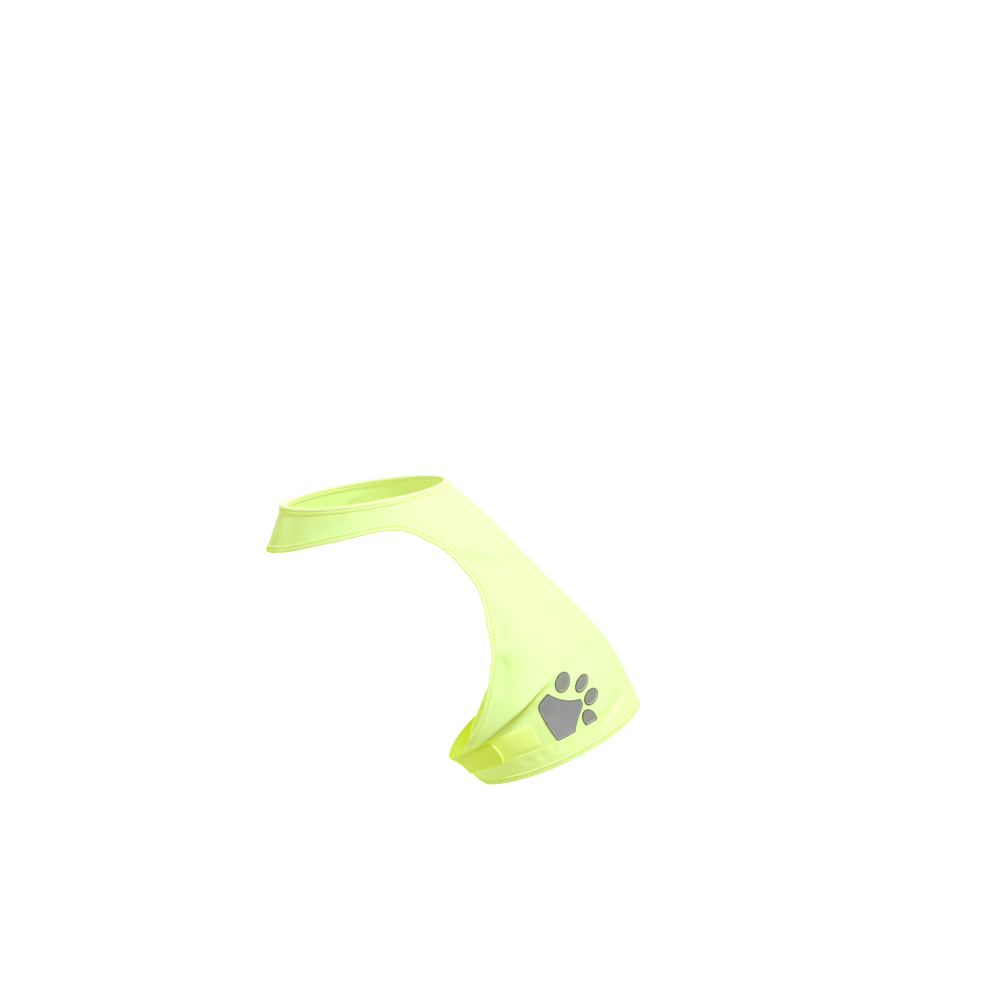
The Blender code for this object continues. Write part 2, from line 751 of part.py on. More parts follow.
# ------------------------------------------------------------------------ build
def main():
    for old in list(bpy.data.objects):
        bpy.data.objects.remove(old, do_unlink=True)
    cloth = material("panel_cloth", (0.80, 1.0, 0.24), 0.65)
    tape = material("binding_tape", (0.83, 0.96, 0.38), 0.7)
    webbing = material("strap_webbing", (0.55, 0.72, 0.08), 0.75)
    loops = material("loop_pile", (0.68, 0.90, 0.20), 0.95)
    hooks = material("hook_tape", (0.60, 0.80, 0.15), 0.6)
    reflector = material("reflective_tape", (0.27, 0.28, 0.27), 0.45)

    sheet = panel_sheet()
    points, normals, faces = part_of_sheet(sheet, lambda side, i, j: True)
    put("back_panel", *wall(points, normals, faces, -CLOTH / 2, CLOTH / 2), cloth)
    add_hem_band(sheet, cloth)
    add_neck_binding(sheet, tape)
    add_outer_binding(sheet, tape)
    add_strap(webbing, hooks)
    add_patch(sheet, loops)
    add_throat_closure(sheet, loops, hooks)
    add_paw(sheet, 1, "left", reflector)
    add_paw(sheet, -1, "right", reflector)


main()
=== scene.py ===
# %% [markdown]
# # A dog safety vest
#
# The real vest is one panel of thin fluorescent cloth with two arms that meet at the
# throat.  A folded tape binds its edges, a second layer is sewn along the hem, a webbing
# strap closes under the belly, and a paw of reflective tape lies on each flank.
#
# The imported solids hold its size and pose.  This script lays a finer cloth on the same
# form, and adds what the solids leave out: creases, puckers, stitches, pile and weave.
# Sizes are in millimetres and become metres when a mesh is made.  The wearer faces -X
# and its left side is at -Y.

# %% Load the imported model
import math

import bpy
import numpy as np
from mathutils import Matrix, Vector, noise
from mathutils.bvhtree import BVHTree


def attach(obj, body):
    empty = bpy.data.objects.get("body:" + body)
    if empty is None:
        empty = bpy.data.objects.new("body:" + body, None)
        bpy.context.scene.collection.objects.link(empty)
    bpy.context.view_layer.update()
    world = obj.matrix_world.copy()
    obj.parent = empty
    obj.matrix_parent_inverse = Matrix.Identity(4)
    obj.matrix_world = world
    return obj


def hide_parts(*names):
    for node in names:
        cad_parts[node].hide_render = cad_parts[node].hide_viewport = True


MM = 0.001
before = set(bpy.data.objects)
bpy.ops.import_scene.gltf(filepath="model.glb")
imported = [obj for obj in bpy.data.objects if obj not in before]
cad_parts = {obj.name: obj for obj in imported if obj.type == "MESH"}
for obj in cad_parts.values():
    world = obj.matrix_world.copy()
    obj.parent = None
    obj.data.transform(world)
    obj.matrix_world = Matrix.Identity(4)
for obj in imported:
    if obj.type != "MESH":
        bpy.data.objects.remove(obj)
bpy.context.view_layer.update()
print("solids:", len(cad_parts))

# %% [markdown]
# ## The general figure
#
# Worn cloth takes its shape from what fills it.  A vest is drafted for a figure, and here
# that is a plain bent tube: seven elliptical sections from the neck to behind the belly
# strap.  A point of it is named as on a tape measure, by its distance down the back and by
# its degrees around from the spine, so every later size can be read off the cloth itself.

# %% The figure's sections
FIGURE_COLUMNS = ("name", "back_x", "back_z", "front_x", "front_z", "half_width")
FIGURE = (
    ("neck edge", -12, 8, -173, -18, 62),
    ("shoulders", 26, -24, -190, -93, 82),
    ("fore chest", 74, -73, -148, -160, 92),
    ("chest", 122, -121, -86, -219, 95),
    ("last rib", 156, -161, -33, -256, 95),
    ("strap", 178, -206, 9, -281, 91),
    ("loin", 185, -231, 24, -309, 89),
)
WITHERS_ALONG = 15.0       # the origin, down the back from the neck edge
STRAP_ON_FLANK = 269.0     # the belly strap's middle, down the back
MM_PER_DEGREE = 1.6        # around the trunk


def column(table, heads, head):
    """One named column of a table, as an array."""
    return np.array([row[heads.index(head)] for row in table], float)


def spline(values, place):
    """A smooth curve through evenly numbered values, read at real-valued places."""
    ends = (2 * values[0] - values[1], 2 * values[-1] - values[-2])
    padded = np.concatenate([ends[:1], values, ends[1:]])
    low = np.clip(np.floor(place).astype(int), 0, len(values) - 2)
    part = place - low
    before, start, end, after = (padded[low + k] for k in range(4))
    square = 2 * before - 5 * start + 4 * end - after
    cube = 3 * (start - end) + after - before
    return 0.5 * (2 * start + part * (end - before + part * (square + part * cube)))


def smooth_step(start, end, value):
    """0 before start, 1 after end, and a smooth rise between."""
    part = np.clip((value - start) / (end - start), 0.0, 1.0)
    return part * part * (3 - 2 * part)


def unit(vectors):
    """The same directions with a length of 1."""
    return vectors / np.maximum(np.linalg.norm(vectors, axis=-1, keepdims=True), 1e-9)


BACK_X = column(FIGURE, FIGURE_COLUMNS, "back_x")
BACK_Z = column(FIGURE, FIGURE_COLUMNS, "back_z")
FRONT_X = column(FIGURE, FIGURE_COLUMNS, "front_x")
FRONT_Z = column(FIGURE, FIGURE_COLUMNS, "front_z")
HALF_WIDTH = column(FIGURE, FIGURE_COLUMNS, "half_width")
BACK_RUNS = np.concatenate([[0], np.cumsum(np.hypot(np.diff(BACK_X), np.diff(BACK_Z)))])


def tube(along, around):
    """Points of the figure.  Positive degrees are on the wearer's left."""
    along, around = np.broadcast_arrays(np.asarray(along, float), np.asarray(around, float))
    low = np.clip(np.searchsorted(BACK_RUNS, along, side="right") - 1, 0, len(BACK_RUNS) - 2)
    place = low + (along - BACK_RUNS[low]) / (BACK_RUNS[low + 1] - BACK_RUNS[low])
    angle = np.radians(around)
    none = np.zeros_like(place)
    back = np.stack([spline(BACK_X, place), none, spline(BACK_Z, place)], -1)
    front = np.stack([spline(FRONT_X, place), none, spline(FRONT_Z, place)], -1)
    side = np.stack([none, -spline(HALF_WIDTH, place) * np.sin(angle), none], -1)
    return (back + front) / 2 + (back - front) / 2 * np.cos(angle)[..., None] + side


def outwards(along, around):
    """Unit vectors that point straight out of the figure."""
    by_along = tube(along + 1, around) - tube(along - 1, around)
    by_around = tube(along, around + 0.5) - tube(along, around - 0.5)
    return unit(np.cross(by_around, by_along))


CLOTH = 1.2            # the panel's thickness
WITHERS = tube(WITHERS_ALONG, 0) - outwards(WITHERS_ALONG, 0) * CLOTH / 2


def skin(along, around, out=0.0):
    """The cloth's middle surface, or points moved out from it."""
    out = np.asarray(out, float)[..., None]
    return tube(along, around) - WITHERS + outwards(along, around) * out


print("girth at the strap: %.0f mm" % np.linalg.norm(
    np.diff(skin(STRAP_ON_FLANK, np.arange(0.0, 361.0, 5.0)), axis=0), axis=1).sum())

# %% [markdown]
# ## The cut of the panel
#
# A maker cuts the panel flat and the figure bends it.  The table below is that cut for one
# half: each row runs over the cloth from the armhole edge to the far edge, which is the
# neck edge on the arms and the spine after the withers.  The other half mirrors it.
#
# Above the strap the cloth is folded over on itself, because the strap draws the flank in.
# The second table is that tuck cut across: how far each row lies below the fold line before
# and after folding, and how far it stands out.

# %% The cut, and the tuck above the strap
CUT_COLUMNS = ("name", "edge_along", "edge_around", "far_along", "far_around",
               "bow", "curl", "steps")
CUT = (
    ("arm end", 31, 199, 0, 199, 0, 0, 4),
    ("chest", 31, 168, 0, 166, 0, 0, 3),
    ("throat", 29, 136, 0, 130, 0, 0, 3),
    ("arm", 27, 104, 0, 92, 0, 0, 3),
    ("arm root", 30, 69, 0, 46, 0, 0, 5),
    ("withers", 58, 52.5, 0, 0, 0, 0, 2),
    ("shoulder blade", 92, 50, 38, 0, 0, 0, 2),
    ("upper armhole", 120, 53, 80, 0, 0, 0, 2),
    ("armhole", 150, 62.5, 120, 0, 0, 0, 2),
    ("elbow", 178, 72.5, 147, 0, 0, 0, 2),
    ("lower armhole", 204, 87, 168, 0, 0, 0, 1),
    ("above the tuck", 230, 104, 182, 0, 0, 0, 0),
    ("tuck", 253.5, 128, 200, 0, -2, 0, 0),
    ("band seam", 277.5, 155, 277, 0, 5.5, 0, 2),
    ("binding seam", 295, 157, 294, 0, 3, 7.5, 1),
    ("hem", 302.5, 154.5, 302, 0, 3, 7.5, 0),
)
CURL_SHARE = 0.11
TUCK = (                   # name, below the fold line before and after folding, stand-out
    ("rise", -20, -19.5, 2.4),
    ("brow", -12, -10, 5.8),
    ("shoulder", -6, -2.4, 8.6),
    ("lip", -2, 2.2, 8.6),
    ("under", 0, 1.6, 6.4),
    ("return", 3, -1.2, 3.4),
    ("root", 6, -2.4, 0.9),
    ("floor", 10, 3.0, 0.0),
)
TUCK_AT_EDGE = 0.15        # of its depth, at the armhole edge
TUCK_NARROWS = 0.65        # of its breadth, at the armhole edge
TUCK_GROWS = (0.01, 0.10)  # shares of the fold line over which it grows whole
TUCK_FULL = 0.34           # share of the fold line up to which it is whole
TUCK_END = 0.60            # share of the fold line where it has run out
TUCK_DEPTH = {1: 1.0, -1: 0.85}
FLAT_ROWS = (0.35, 0.70)   # rows between the tuck and the band
THROAT_LIFT = 4.2          # the left arm lies over the right one
THROAT_RAMP = (138, 154)   # degrees around, where it steps up

CUT_NAMES = [row[0] for row in CUT]
EDGE_ALONG = column(CUT, CUT_COLUMNS, "edge_along")
EDGE_AROUND = column(CUT, CUT_COLUMNS, "edge_around")
FAR_ALONG = column(CUT, CUT_COLUMNS, "far_along")
FAR_AROUND = column(CUT, CUT_COLUMNS, "far_around")
BOW = column(CUT, CUT_COLUMNS, "bow")
CURL = column(CUT, CUT_COLUMNS, "curl")
STEPS = column(CUT, CUT_COLUMNS, "steps").astype(int)
WITHERS_ROW = CUT_NAMES.index("withers")
TUCK_ROW = CUT_NAMES.index("tuck")
BAND_ROW = CUT_NAMES.index("band seam")
HEM_ROW = CUT_NAMES.index("hem")


def cut_place(row, share):
    """Along and around of points of a row of the cut, share 0 at the armhole edge."""
    place = np.array([float(row)])
    edge_along = spline(EDGE_ALONG, place)[0]
    edge_around = spline(EDGE_AROUND, place)[0]
    far_along, far_around, bow, curl = (
        np.interp(row, range(len(CUT)), values) for values in (FAR_ALONG, FAR_AROUND, BOW, CURL))
    bend = bow * 4 * share * (1 - share)
    lift = curl * np.maximum(1 - share / CURL_SHARE, 0.0) ** 2
    along = edge_along + share * (far_along - edge_along) + bend - lift
    return along, edge_around + share * (far_around - edge_around)


def fold_line(around):
    """How far down the back the tuck's fold line lies, at degrees around."""
    share = 1 - around / EDGE_AROUND[TUCK_ROW]
    along = EDGE_ALONG[TUCK_ROW] + share * (FAR_ALONG[TUCK_ROW] - EDGE_ALONG[TUCK_ROW])
    return along + BOW[TUCK_ROW] * 4 * share * (1 - share)


def tuck_fold(around):
    """How much of the tuck is there, from 0 to 1, at degrees around."""
    share = 1 - around / EDGE_AROUND[TUCK_ROW]
    grown = TUCK_AT_EDGE + (1 - TUCK_AT_EDGE) * smooth_step(*TUCK_GROWS, share)
    return grown * (1 - smooth_step(TUCK_FULL, TUCK_END, share))


def below_fold(tuck, around):
    """How far below the fold line a tuck row lies, at degrees around."""
    _, flat, folded, _ = tuck
    share = 1 - around / EDGE_AROUND[TUCK_ROW]
    breadth = TUCK_NARROWS + (1 - TUCK_NARROWS) * smooth_step(0, TUCK_GROWS[1], share)
    return (flat + (folded - flat) * tuck_fold(around)) * breadth


def tuck_edge(tuck):
    """The degrees around at which a tuck row meets the armhole edge."""
    low, high = TUCK_ROW - 2.0, TUCK_ROW + 1.0
    for _ in range(40):
        middle = (low + high) / 2
        along, around = cut_place(middle, 0.0)
        if along < fold_line(around) + below_fold(tuck, around):
            low = middle
        else:
            high = middle
    return spline(EDGE_AROUND, np.array([low]))[0]


def tuck_place(tuck, share):
    """Along, around and stand-out of points of one of the tuck's rows."""
    around = tuck_edge(tuck) * (1 - share)
    return fold_line(around) + below_fold(tuck, around), around, tuck[3] * tuck_fold(around)


def key_rows():
    """The rows that shape the panel: each one's number in the cut, and its tuck row."""
    rows = []
    for k, steps in enumerate(STEPS):
        rows += [(k + step / steps, None) for step in range(steps)]
        if k == TUCK_ROW:
            rows += [(k + tuck[1] / 100, tuck) for tuck in TUCK]
            rows += [(k + part, None) for part in FLAT_ROWS]
    return rows + [(HEM_ROW, None)]


def key_place(row, tuck, share):
    """Along, around and stand-out of points of a key row."""
    if tuck:
        return tuck_place(tuck, share)
    if TUCK_ROW < row < BAND_ROW:
        along, around, _ = tuck_place(TUCK[-1], share)
        band_along, band_around = cut_place(BAND_ROW, share)
        part = row - TUCK_ROW
        return (along + (band_along - along) * part, around + (band_around - around) * part,
                0.0 * share)
    return (*cut_place(row, share), 0.0 * share)


print("key rows:", len(key_rows()))

# %% [markdown]
# ## A fine grid of cloth
#
# The key rows are too few for cloth that creases.  A curve through each column of them
# gives rows under 3 mm apart.  The cut is the one that the solids were made from, so the
# fine cloth lies on their form.  Only the tuck is a little fuller here, because cloth thin
# enough to show its fold can turn more sharply than a solid.

# %% Rows under 3 mm apart
ROW_SPACING = 2.7
COLUMNS = 84
EDGE, SPINE = 0, COLUMNS


def through_rows(values, stations, wanted):
    """A smooth curve through rows at uneven stations, read at the wanted stations."""
    slopes = np.gradient(values, stations, axis=0)
    low = np.clip(np.searchsorted(stations, wanted, side="right") - 1, 0, len(stations) - 2)
    span = (stations[low + 1] - stations[low])[:, None]
    part = (wanted - stations[low])[:, None] / span
    rise = values[low + 1] - values[low]
    start, end = slopes[low] * span, slopes[low + 1] * span
    return values[low] + part * (start + part * (
        3 * rise - 2 * start - end + part * (start + end - 2 * rise)))


def fine_grid():
    """Along, around, stand-out and row of the cut, for the rows and columns of one half."""
    share = np.linspace(0, 1, COLUMNS + 1)
    rows = key_rows()
    keyed = [key_place(row, tuck, share) for row, tuck in rows]
    along, around, out = (np.array([key[m] for key in keyed]) for m in range(3))
    steps = np.linalg.norm(np.diff(skin(along, around, out), axis=0), axis=2).mean(axis=1)
    stations = np.concatenate([[0], np.cumsum(steps)])
    wanted = [stations[:1]]
    for start, end in zip(stations, stations[1:]):
        count = max(2, math.ceil((end - start) / ROW_SPACING))
        wanted.append(np.linspace(start, end, count + 1)[1:])
    wanted = np.concatenate(wanted)
    cut_row = np.interp(wanted, stations, [row for row, _ in rows])
    return [through_rows(values, stations, wanted) for values in (along, around, out)] + [cut_row]


ALONG, AROUND, OUT, CUT_ROW = fine_grid()
ROWS = len(CUT_ROW)
print("fine rows:", ROWS, "columns in a half:", COLUMNS)

# %% [markdown]
# ## Creases
#
# Thin coated cloth doesn't wrinkle at random: it creases where it is pulled and where
# something holds it.  Here the strap pulls the flank forward, so creases run from the strap
# towards the back, and the band's stitches pinch small hollows into the hem.  Each one is
# listed as a soft ridge or trough with its own size.  The hidden right flank gets the
# same ones at other strengths, since no two sides of a worn vest crease alike.

# %% Ridges and troughs in the panel
# name, from along and around, to along and around, half width, height, and its share of
# that height on the right half
CREASES = (
    ("ridge above the patch", 248.5, 98, 233, 66, 2.0, 1.6, 0.6),
    ("below the ridge", 253, 99, 241, 72, 2.8, -0.8, 0.6),
    ("strap pull, low", 262, 84, 247, 66, 3.5, 0.6, 0.9),
    ("armhole slack, upper", 132, 51, 176, 65, 5.5, -2.2, 1.2),
    ("armhole slack, lower", 178, 67, 216, 84, 6.5, -2.6, 0.8),
    ("armhole swell", 156, 46, 205, 65, 9.0, 1.6, 1.0),
    ("dimple in the slack", 180, 68.5, 197, 74, 3.6, -1.3, 0.4),
    ("rear fold", 291, 52, 272, 17, 4.2, -2.6, 0.7),
    ("rear fold's crest", 282, 54, 262, 24, 5.0, 1.3, 0.7),
    ("over the toes", 214, 42, 233, 48, 4.0, -1.2, 0.4),
    ("flank drape", 196, 40, 232, 58, 11.0, 1.2, 1.2),
    ("back drape", 214, 18, 262, 30, 14.0, -1.4, 0.8),
    ("shoulder pull", 62, 47, 96, 26, 7.0, 1.3, 1.1),
    ("shoulder pull, below", 74, 49, 108, 30, 7.0, -1.5, 0.9),
    ("neck slack", 8, 30, 34, 18, 8.0, -1.2, 1.0),
    ("arm crease", 10, 98, 20, 122, 4.5, -1.1, 1.2),
    ("throat crease", 8, 150, 24, 158, 4.0, 0.9, 0.9),
)
PUCKERS = (                # along, around, depth, radius
    (289.5, 113, 0.9, 3.2),
    (290.5, 101, 1.3, 4.0),
    (291.0, 91, 1.5, 4.4),
    (287.5, 83, 1.2, 3.8),
    (290.0, 75, 1.6, 4.6),
    (289.0, 66, 1.0, 3.6),
    (291.5, 58, 1.4, 4.2),
    (291.0, 49, 1.2, 3.8),
    (289.0, 38, 0.9, 3.8),
    (288.5, 26, 1.1, 4.0),
    (288.0, 13, 0.8, 3.4),
    (290.5, 124, 1.1, 3.8),
    (289.5, 136, 1.2, 4.2),
)
RIGHT_PUCKERS = 0.8        # how deep the right half's puckers are, beside the left's
UNEVEN_SIZE = 34.0         # of the soft unevenness all over
UNEVEN_HEIGHT = 0.55
UNEVEN_SEED = 3.1
SPINE_CALM = 12            # to this distance from the spine the creases grow


def crease_height(along, around, side):
    """How far the creases lift or sink points of the cloth, in millimetres."""
    height = np.zeros_like(along)
    across = around * MM_PER_DEGREE
    for _, start, start_around, end, end_around, half_width, lift, right in CREASES:
        run = np.array([end - start, (end_around - start_around) * MM_PER_DEGREE])
        place = np.stack([along - start, across - start_around * MM_PER_DEGREE], -1)
        part = (place @ run) / (run @ run)
        off = np.linalg.norm(place - np.clip(part, 0, 1)[..., None] * run, axis=-1)
        fade = smooth_step(-0.15, 0.3, part) * (1 - smooth_step(0.7, 1.15, part))
        height += lift * (1.0 if side > 0 else right) * fade * np.exp(-(off / half_width) ** 2)
    return height


def puckers(along, around, side):
    """How far the hem sinks where the band's stitches pinch it, in millimetres."""
    sunk = np.zeros(np.shape(along))
    for row, place, depth, radius in PUCKERS:
        off = np.hypot(along - row, (around - place) * MM_PER_DEGREE)
        sunk += depth * (1.0 if side > 0 else RIGHT_PUCKERS) * np.exp(-(off / radius) ** 2)
    return sunk


def unevenness(along, around, side):
    """Soft noise over the cloth, from -1 to 1, the same at each run."""
    places = np.stack([along, side * around * MM_PER_DEGREE], -1).reshape(-1, 2) / UNEVEN_SIZE
    values = [noise.noise(Vector((x, y, UNEVEN_SEED))) for x, y in places]
    return np.array(values).reshape(np.shape(along))


def panel_out(side):
    """How far each grid point of one half stands out from the figure."""
    lift = THROAT_LIFT * smooth_step(*THROAT_RAMP, AROUND) if side > 0 else 0.0
    lift = lift * (CUT_ROW[:, None] < WITHERS_ROW)
    creases = crease_height(ALONG, AROUND, side) - puckers(ALONG, AROUND, side)
    uneven = UNEVEN_HEIGHT * unevenness(ALONG, AROUND, side)
    to_spine = smooth_step(0, SPINE_CALM, np.abs(AROUND) * MM_PER_DEGREE)
    body = smooth_step(WITHERS_ROW - 1, WITHERS_ROW, CUT_ROW)[:, None]
    calm = 1 - body * (1 - to_spine)
    return OUT * TUCK_DEPTH[side] + lift + (creases + uneven) * calm


print("creases:", len(CREASES), "puckers in a half:", len(PUCKERS))

# %% [markdown]
# ## The panel's sheet
#
# Both halves become one sheet of points and four-sided cells, joined along the spine.  The
# sheet is the cloth's middle.  Everything sewn on later is measured from it: a layer is the
# same points moved out along the sheet's own normals, so it can't cross its neighbour.

# %% Points, cells and normals of the sheet
class Sheet:
    """Points in millimetres with their cells, normals and flat coordinates."""

    def __init__(self, points, cells, flat):
        self.points = points
        self.cells = cells
        self.flat = flat
        corners = points[cells]
        normals = np.zeros_like(points)
        facing = np.cross(corners[:, 2] - corners[:, 0], corners[:, 3] - corners[:, 1])
        for k in range(4):
            np.add.at(normals, cells[:, k], facing)
        self.normals = unit(normals)

    def part(self, chosen):
        """The same sheet with only the chosen cells, on the whole sheet's normals."""
        cells = self.cells[chosen]
        used, renumbered = np.unique(cells, return_inverse=True)
        made = Sheet(self.points[used], renumbered.reshape(-1, 4), self.flat[used])
        made.normals = self.normals[used]
        return made


NUMBER = {}


def panel_sheet():
    """The panel's sheet.  NUMBER holds each side's grid of point numbers."""
    points, flat = [], []
    for side in (1, -1):
        first = sum(len(p) for p in points)
        grid = first + np.arange(ROWS * (COLUMNS + 1)).reshape(ROWS, COLUMNS + 1)
        points.append(skin(ALONG, side * AROUND, panel_out(side)).reshape(-1, 3))
        flat.append(np.stack([side * AROUND * MM_PER_DEGREE, ALONG], -1).reshape(-1, 2))
        NUMBER[side] = grid
    joined = CUT_ROW >= WITHERS_ROW - 1e-6
    NUMBER[-1][joined, SPINE] = NUMBER[1][joined, SPINE]
    cells = []
    for side in (1, -1):
        grid = NUMBER[side]
        corners = [grid[:-1, :-1], grid[1:, :-1], grid[1:, 1:], grid[:-1, 1:]][::side]
        cells.append(np.stack(corners, -1).reshape(-1, 4))
    return Sheet(np.concatenate(points), np.concatenate(cells), np.concatenate(flat))


SHEET = panel_sheet()
CELL_ROW = np.tile(np.repeat((CUT_ROW[:-1] + CUT_ROW[1:]) / 2, COLUMNS), 2)
CELL_COLUMN = np.tile(np.tile(np.arange(COLUMNS), ROWS - 1), 2)
CELL_SIDE = np.repeat([1, -1], (ROWS - 1) * COLUMNS)
print("cells of the sheet:", len(SHEET.cells))

# %% [markdown]
# ## From sheet to cloth
#
# A sheet has no thickness, and a renderer shows that at every edge. `wall` gives it two
# faces and a rim.

# %% Helpers that make a piece
def rim_edges(cells):
    """Edges that only one cell uses, each as that cell runs along it."""
    seen = {}
    for cell in cells.tolist():
        for a, b in zip(cell, cell[1:] + cell[:1]):
            seen[(a, b)] = True
    return [(a, b) for (a, b) in seen if (b, a) not in seen]


def wall(sheet, low, high):
    """The closed wall between two distances from a sheet, with its flat coordinates."""
    count = len(sheet.points)
    low, high = (np.broadcast_to(np.asarray(d, float), (count,))[:, None] for d in (low, high))
    points = np.concatenate([sheet.points + sheet.normals * low,
                             sheet.points + sheet.normals * high])
    faces = [tuple(reversed(cell)) for cell in sheet.cells.tolist()]
    faces += [tuple(k + count for k in cell) for cell in sheet.cells.tolist()]
    faces += [(a, b, b + count, a + count) for a, b in rim_edges(sheet.cells)]
    return points, faces, np.concatenate([sheet.flat, sheet.flat])


def faces_below(shape, values, limit):
    """1 for each face over whose corners a value is below the limit on average, else 0."""
    return [int(np.mean([values[k] for k in face]) < limit) for face in shape[1]]


def add_piece(name, shape, finishes, replaces=(), faces_of=None, crisp=50,
              painted_shade_share=None):
    """A mesh from points, faces and flat coordinates, riding on the vest's one body."""
    points, faces, flat = shape
    mesh = bpy.data.meshes.new(name)
    mesh.from_pydata((points * MM).tolist(), [], faces)
    loops = np.zeros(len(mesh.loops), int)
    mesh.loops.foreach_get("vertex_index", loops)
    layer = mesh.uv_layers.new(name="flat")
    layer.data.foreach_set("uv", (flat[loops] * MM).ravel())
    # the painted shade under the tuck, kept on the mesh for the finishes to read
    if painted_shade_share is not None:
        mesh.attributes.new("painted_fold_shade", "FLOAT", "POINT").data.foreach_set("value", painted_shade_share)
    for finish in finishes:
        mesh.materials.append(finish)
    if faces_of is not None:
        mesh.polygons.foreach_set("material_index", faces_of)
    mesh.shade_smooth()
    mesh.set_sharp_from_angle(angle=math.radians(crisp))
    piece = bpy.data.objects.new(name, mesh)
    bpy.context.scene.collection.objects.link(piece)
    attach(piece, "root")
    if replaces:
        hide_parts(*replaces)
    print("%s: %d faces" % (name, len(faces)))
    return piece


# %% [markdown]
# ## Effects that several finishes share
#
# A weave, a soft change of tone and a fine pile turn up in more than one finish, so each is
# a node group with its sizes as inputs.  They read the flat coordinates, which are the
# cloth's own metres, so a thread is as thick on the arm as on the flank.

# %% Helpers that wire nodes
def new_group(name, inputs, outputs):
    """An empty group with named sockets, and its two end nodes."""
    group = bpy.data.node_groups.new(name, "ShaderNodeTree")
    for label, kind, value in inputs:
        socket = group.interface.new_socket(label, in_out="INPUT", socket_type=kind)
        if value is not None:
            socket.default_value = value
    for label, kind in outputs:
        group.interface.new_socket(label, in_out="OUTPUT", socket_type=kind)
    start = group.nodes.new("NodeGroupInput")
    end = group.nodes.new("NodeGroupOutput")
    return group, start, end


def math_node(tree, operation, first, second=None, third=None):
    """A Math node fed by sockets or numbers, and its output."""
    node = tree.nodes.new("ShaderNodeMath")
    node.operation = operation
    for k, value in enumerate((first, second, third)):
        if isinstance(value, bpy.types.NodeSocket):
            tree.links.new(value, node.inputs[k])
        elif value is not None:
            node.inputs[k].default_value = value
    return node.outputs[0]


def weighted(tree, first, share, second, other_share):
    """The sum of two tones, each times its share."""
    return math_node(tree, "MULTIPLY_ADD", first, share,
                     math_node(tree, "MULTIPLY", second, other_share))


def humps(tree, counted, times=1):
    """Rounded humps, some to each count, as threads lying side by side have."""
    turns = math_node(tree, "MULTIPLY", counted, times * math.pi)
    return math_node(tree, "ABSOLUTE", math_node(tree, "SINE", turns))


def scaled(tree, vector, size):
    """The flat coordinates counted in a size, which is a socket or metres."""
    node = tree.nodes.new("ShaderNodeVectorMath")
    node.operation = "DIVIDE"
    tree.links.new(vector, node.inputs[0])
    if isinstance(size, bpy.types.NodeSocket):
        tree.links.new(size, node.inputs[1])
    else:
        node.inputs[1].default_value = (size, size, size)
    return node.outputs[0]


def noise_node(tree, vector, detail=2.0):
    """Soft noise whose size is one count of the vector."""
    node = tree.nodes.new("ShaderNodeTexNoise")
    node.inputs["Scale"].default_value = 1.0
    node.inputs["Detail"].default_value = detail
    tree.links.new(vector, node.inputs["Vector"])
    return node.outputs["Fac"]


# %% [markdown]
# ### Weave, tone, ribs and pile
#
# Coated polyester is a plain weave of threads under half a millimetre, webbing is woven in
# ribs, and touch tape is a pile.  None of them is deep enough to be worth a mesh, so each
# is a height and a tone that a material mixes and bumps as it needs.

# %% Group: plain weave
def weave_group():
    """Plain weave: warp and weft threads that pass over each other in turn."""
    group, start, end = new_group(
        "Plain weave", [("Flat", "NodeSocketVector", None), ("Thread", "NodeSocketFloat", 0.0004)],
        [("Height", "NodeSocketFloat"), ("Tone", "NodeSocketFloat")])
    counted = scaled(group, start.outputs["Flat"], start.outputs["Thread"])
    parts = group.nodes.new("ShaderNodeSeparateXYZ")
    group.links.new(counted, parts.inputs[0])
    warp, weft = humps(group, parts.outputs[0]), humps(group, parts.outputs[1])
    turns = group.nodes.new("ShaderNodeTexChecker")
    turns.inputs["Scale"].default_value = 1.0
    group.links.new(counted, turns.inputs["Vector"])
    over = math_node(group, "MULTIPLY", turns.outputs["Fac"], warp)
    not_over = math_node(group, "SUBTRACT", 1.0, turns.outputs["Fac"])
    under = math_node(group, "MULTIPLY", not_over, weft)
    height = math_node(group, "ADD", over, under)
    group.links.new(height, end.inputs["Height"])
    slub = noise_node(group, scaled(group, counted, 9.0), 3.0)
    group.links.new(weighted(group, height, 0.35, slub, 0.65), end.inputs["Tone"])
    return group


# %% Group: soft tone
def tone_group():
    """A soft change of tone, as where cloth was handled or lies slack."""
    group, start, end = new_group(
        "Soft tone", [("Flat", "NodeSocketVector", None), ("Size", "NodeSocketFloat", 0.05)],
        [("Tone", "NodeSocketFloat")])
    broad = noise_node(group, scaled(group, start.outputs["Flat"], start.outputs["Size"]), 3.0)
    spread = math_node(group, "MULTIPLY_ADD", broad, 2.2, -0.6)
    clipped = math_node(group, "MINIMUM", math_node(group, "MAXIMUM", spread, 0.0), 1.0)
    group.links.new(clipped, end.inputs["Tone"])
    return group


# %% Group: webbing ribs
def rib_group():
    """Elastic webbing: ribs across the tape, and a finer beat along it."""
    group, start, end = new_group(
        "Webbing ribs", [("Flat", "NodeSocketVector", None), ("Rib", "NodeSocketFloat", 0.0011)],
        [("Height", "NodeSocketFloat")])
    counted = scaled(group, start.outputs["Flat"], start.outputs["Rib"])
    parts = group.nodes.new("ShaderNodeSeparateXYZ")
    group.links.new(counted, parts.inputs[0])
    across, beat = humps(group, parts.outputs[0]), humps(group, parts.outputs[1], 2)
    group.links.new(weighted(group, across, 0.7, beat, 0.3), end.inputs["Height"])
    return group


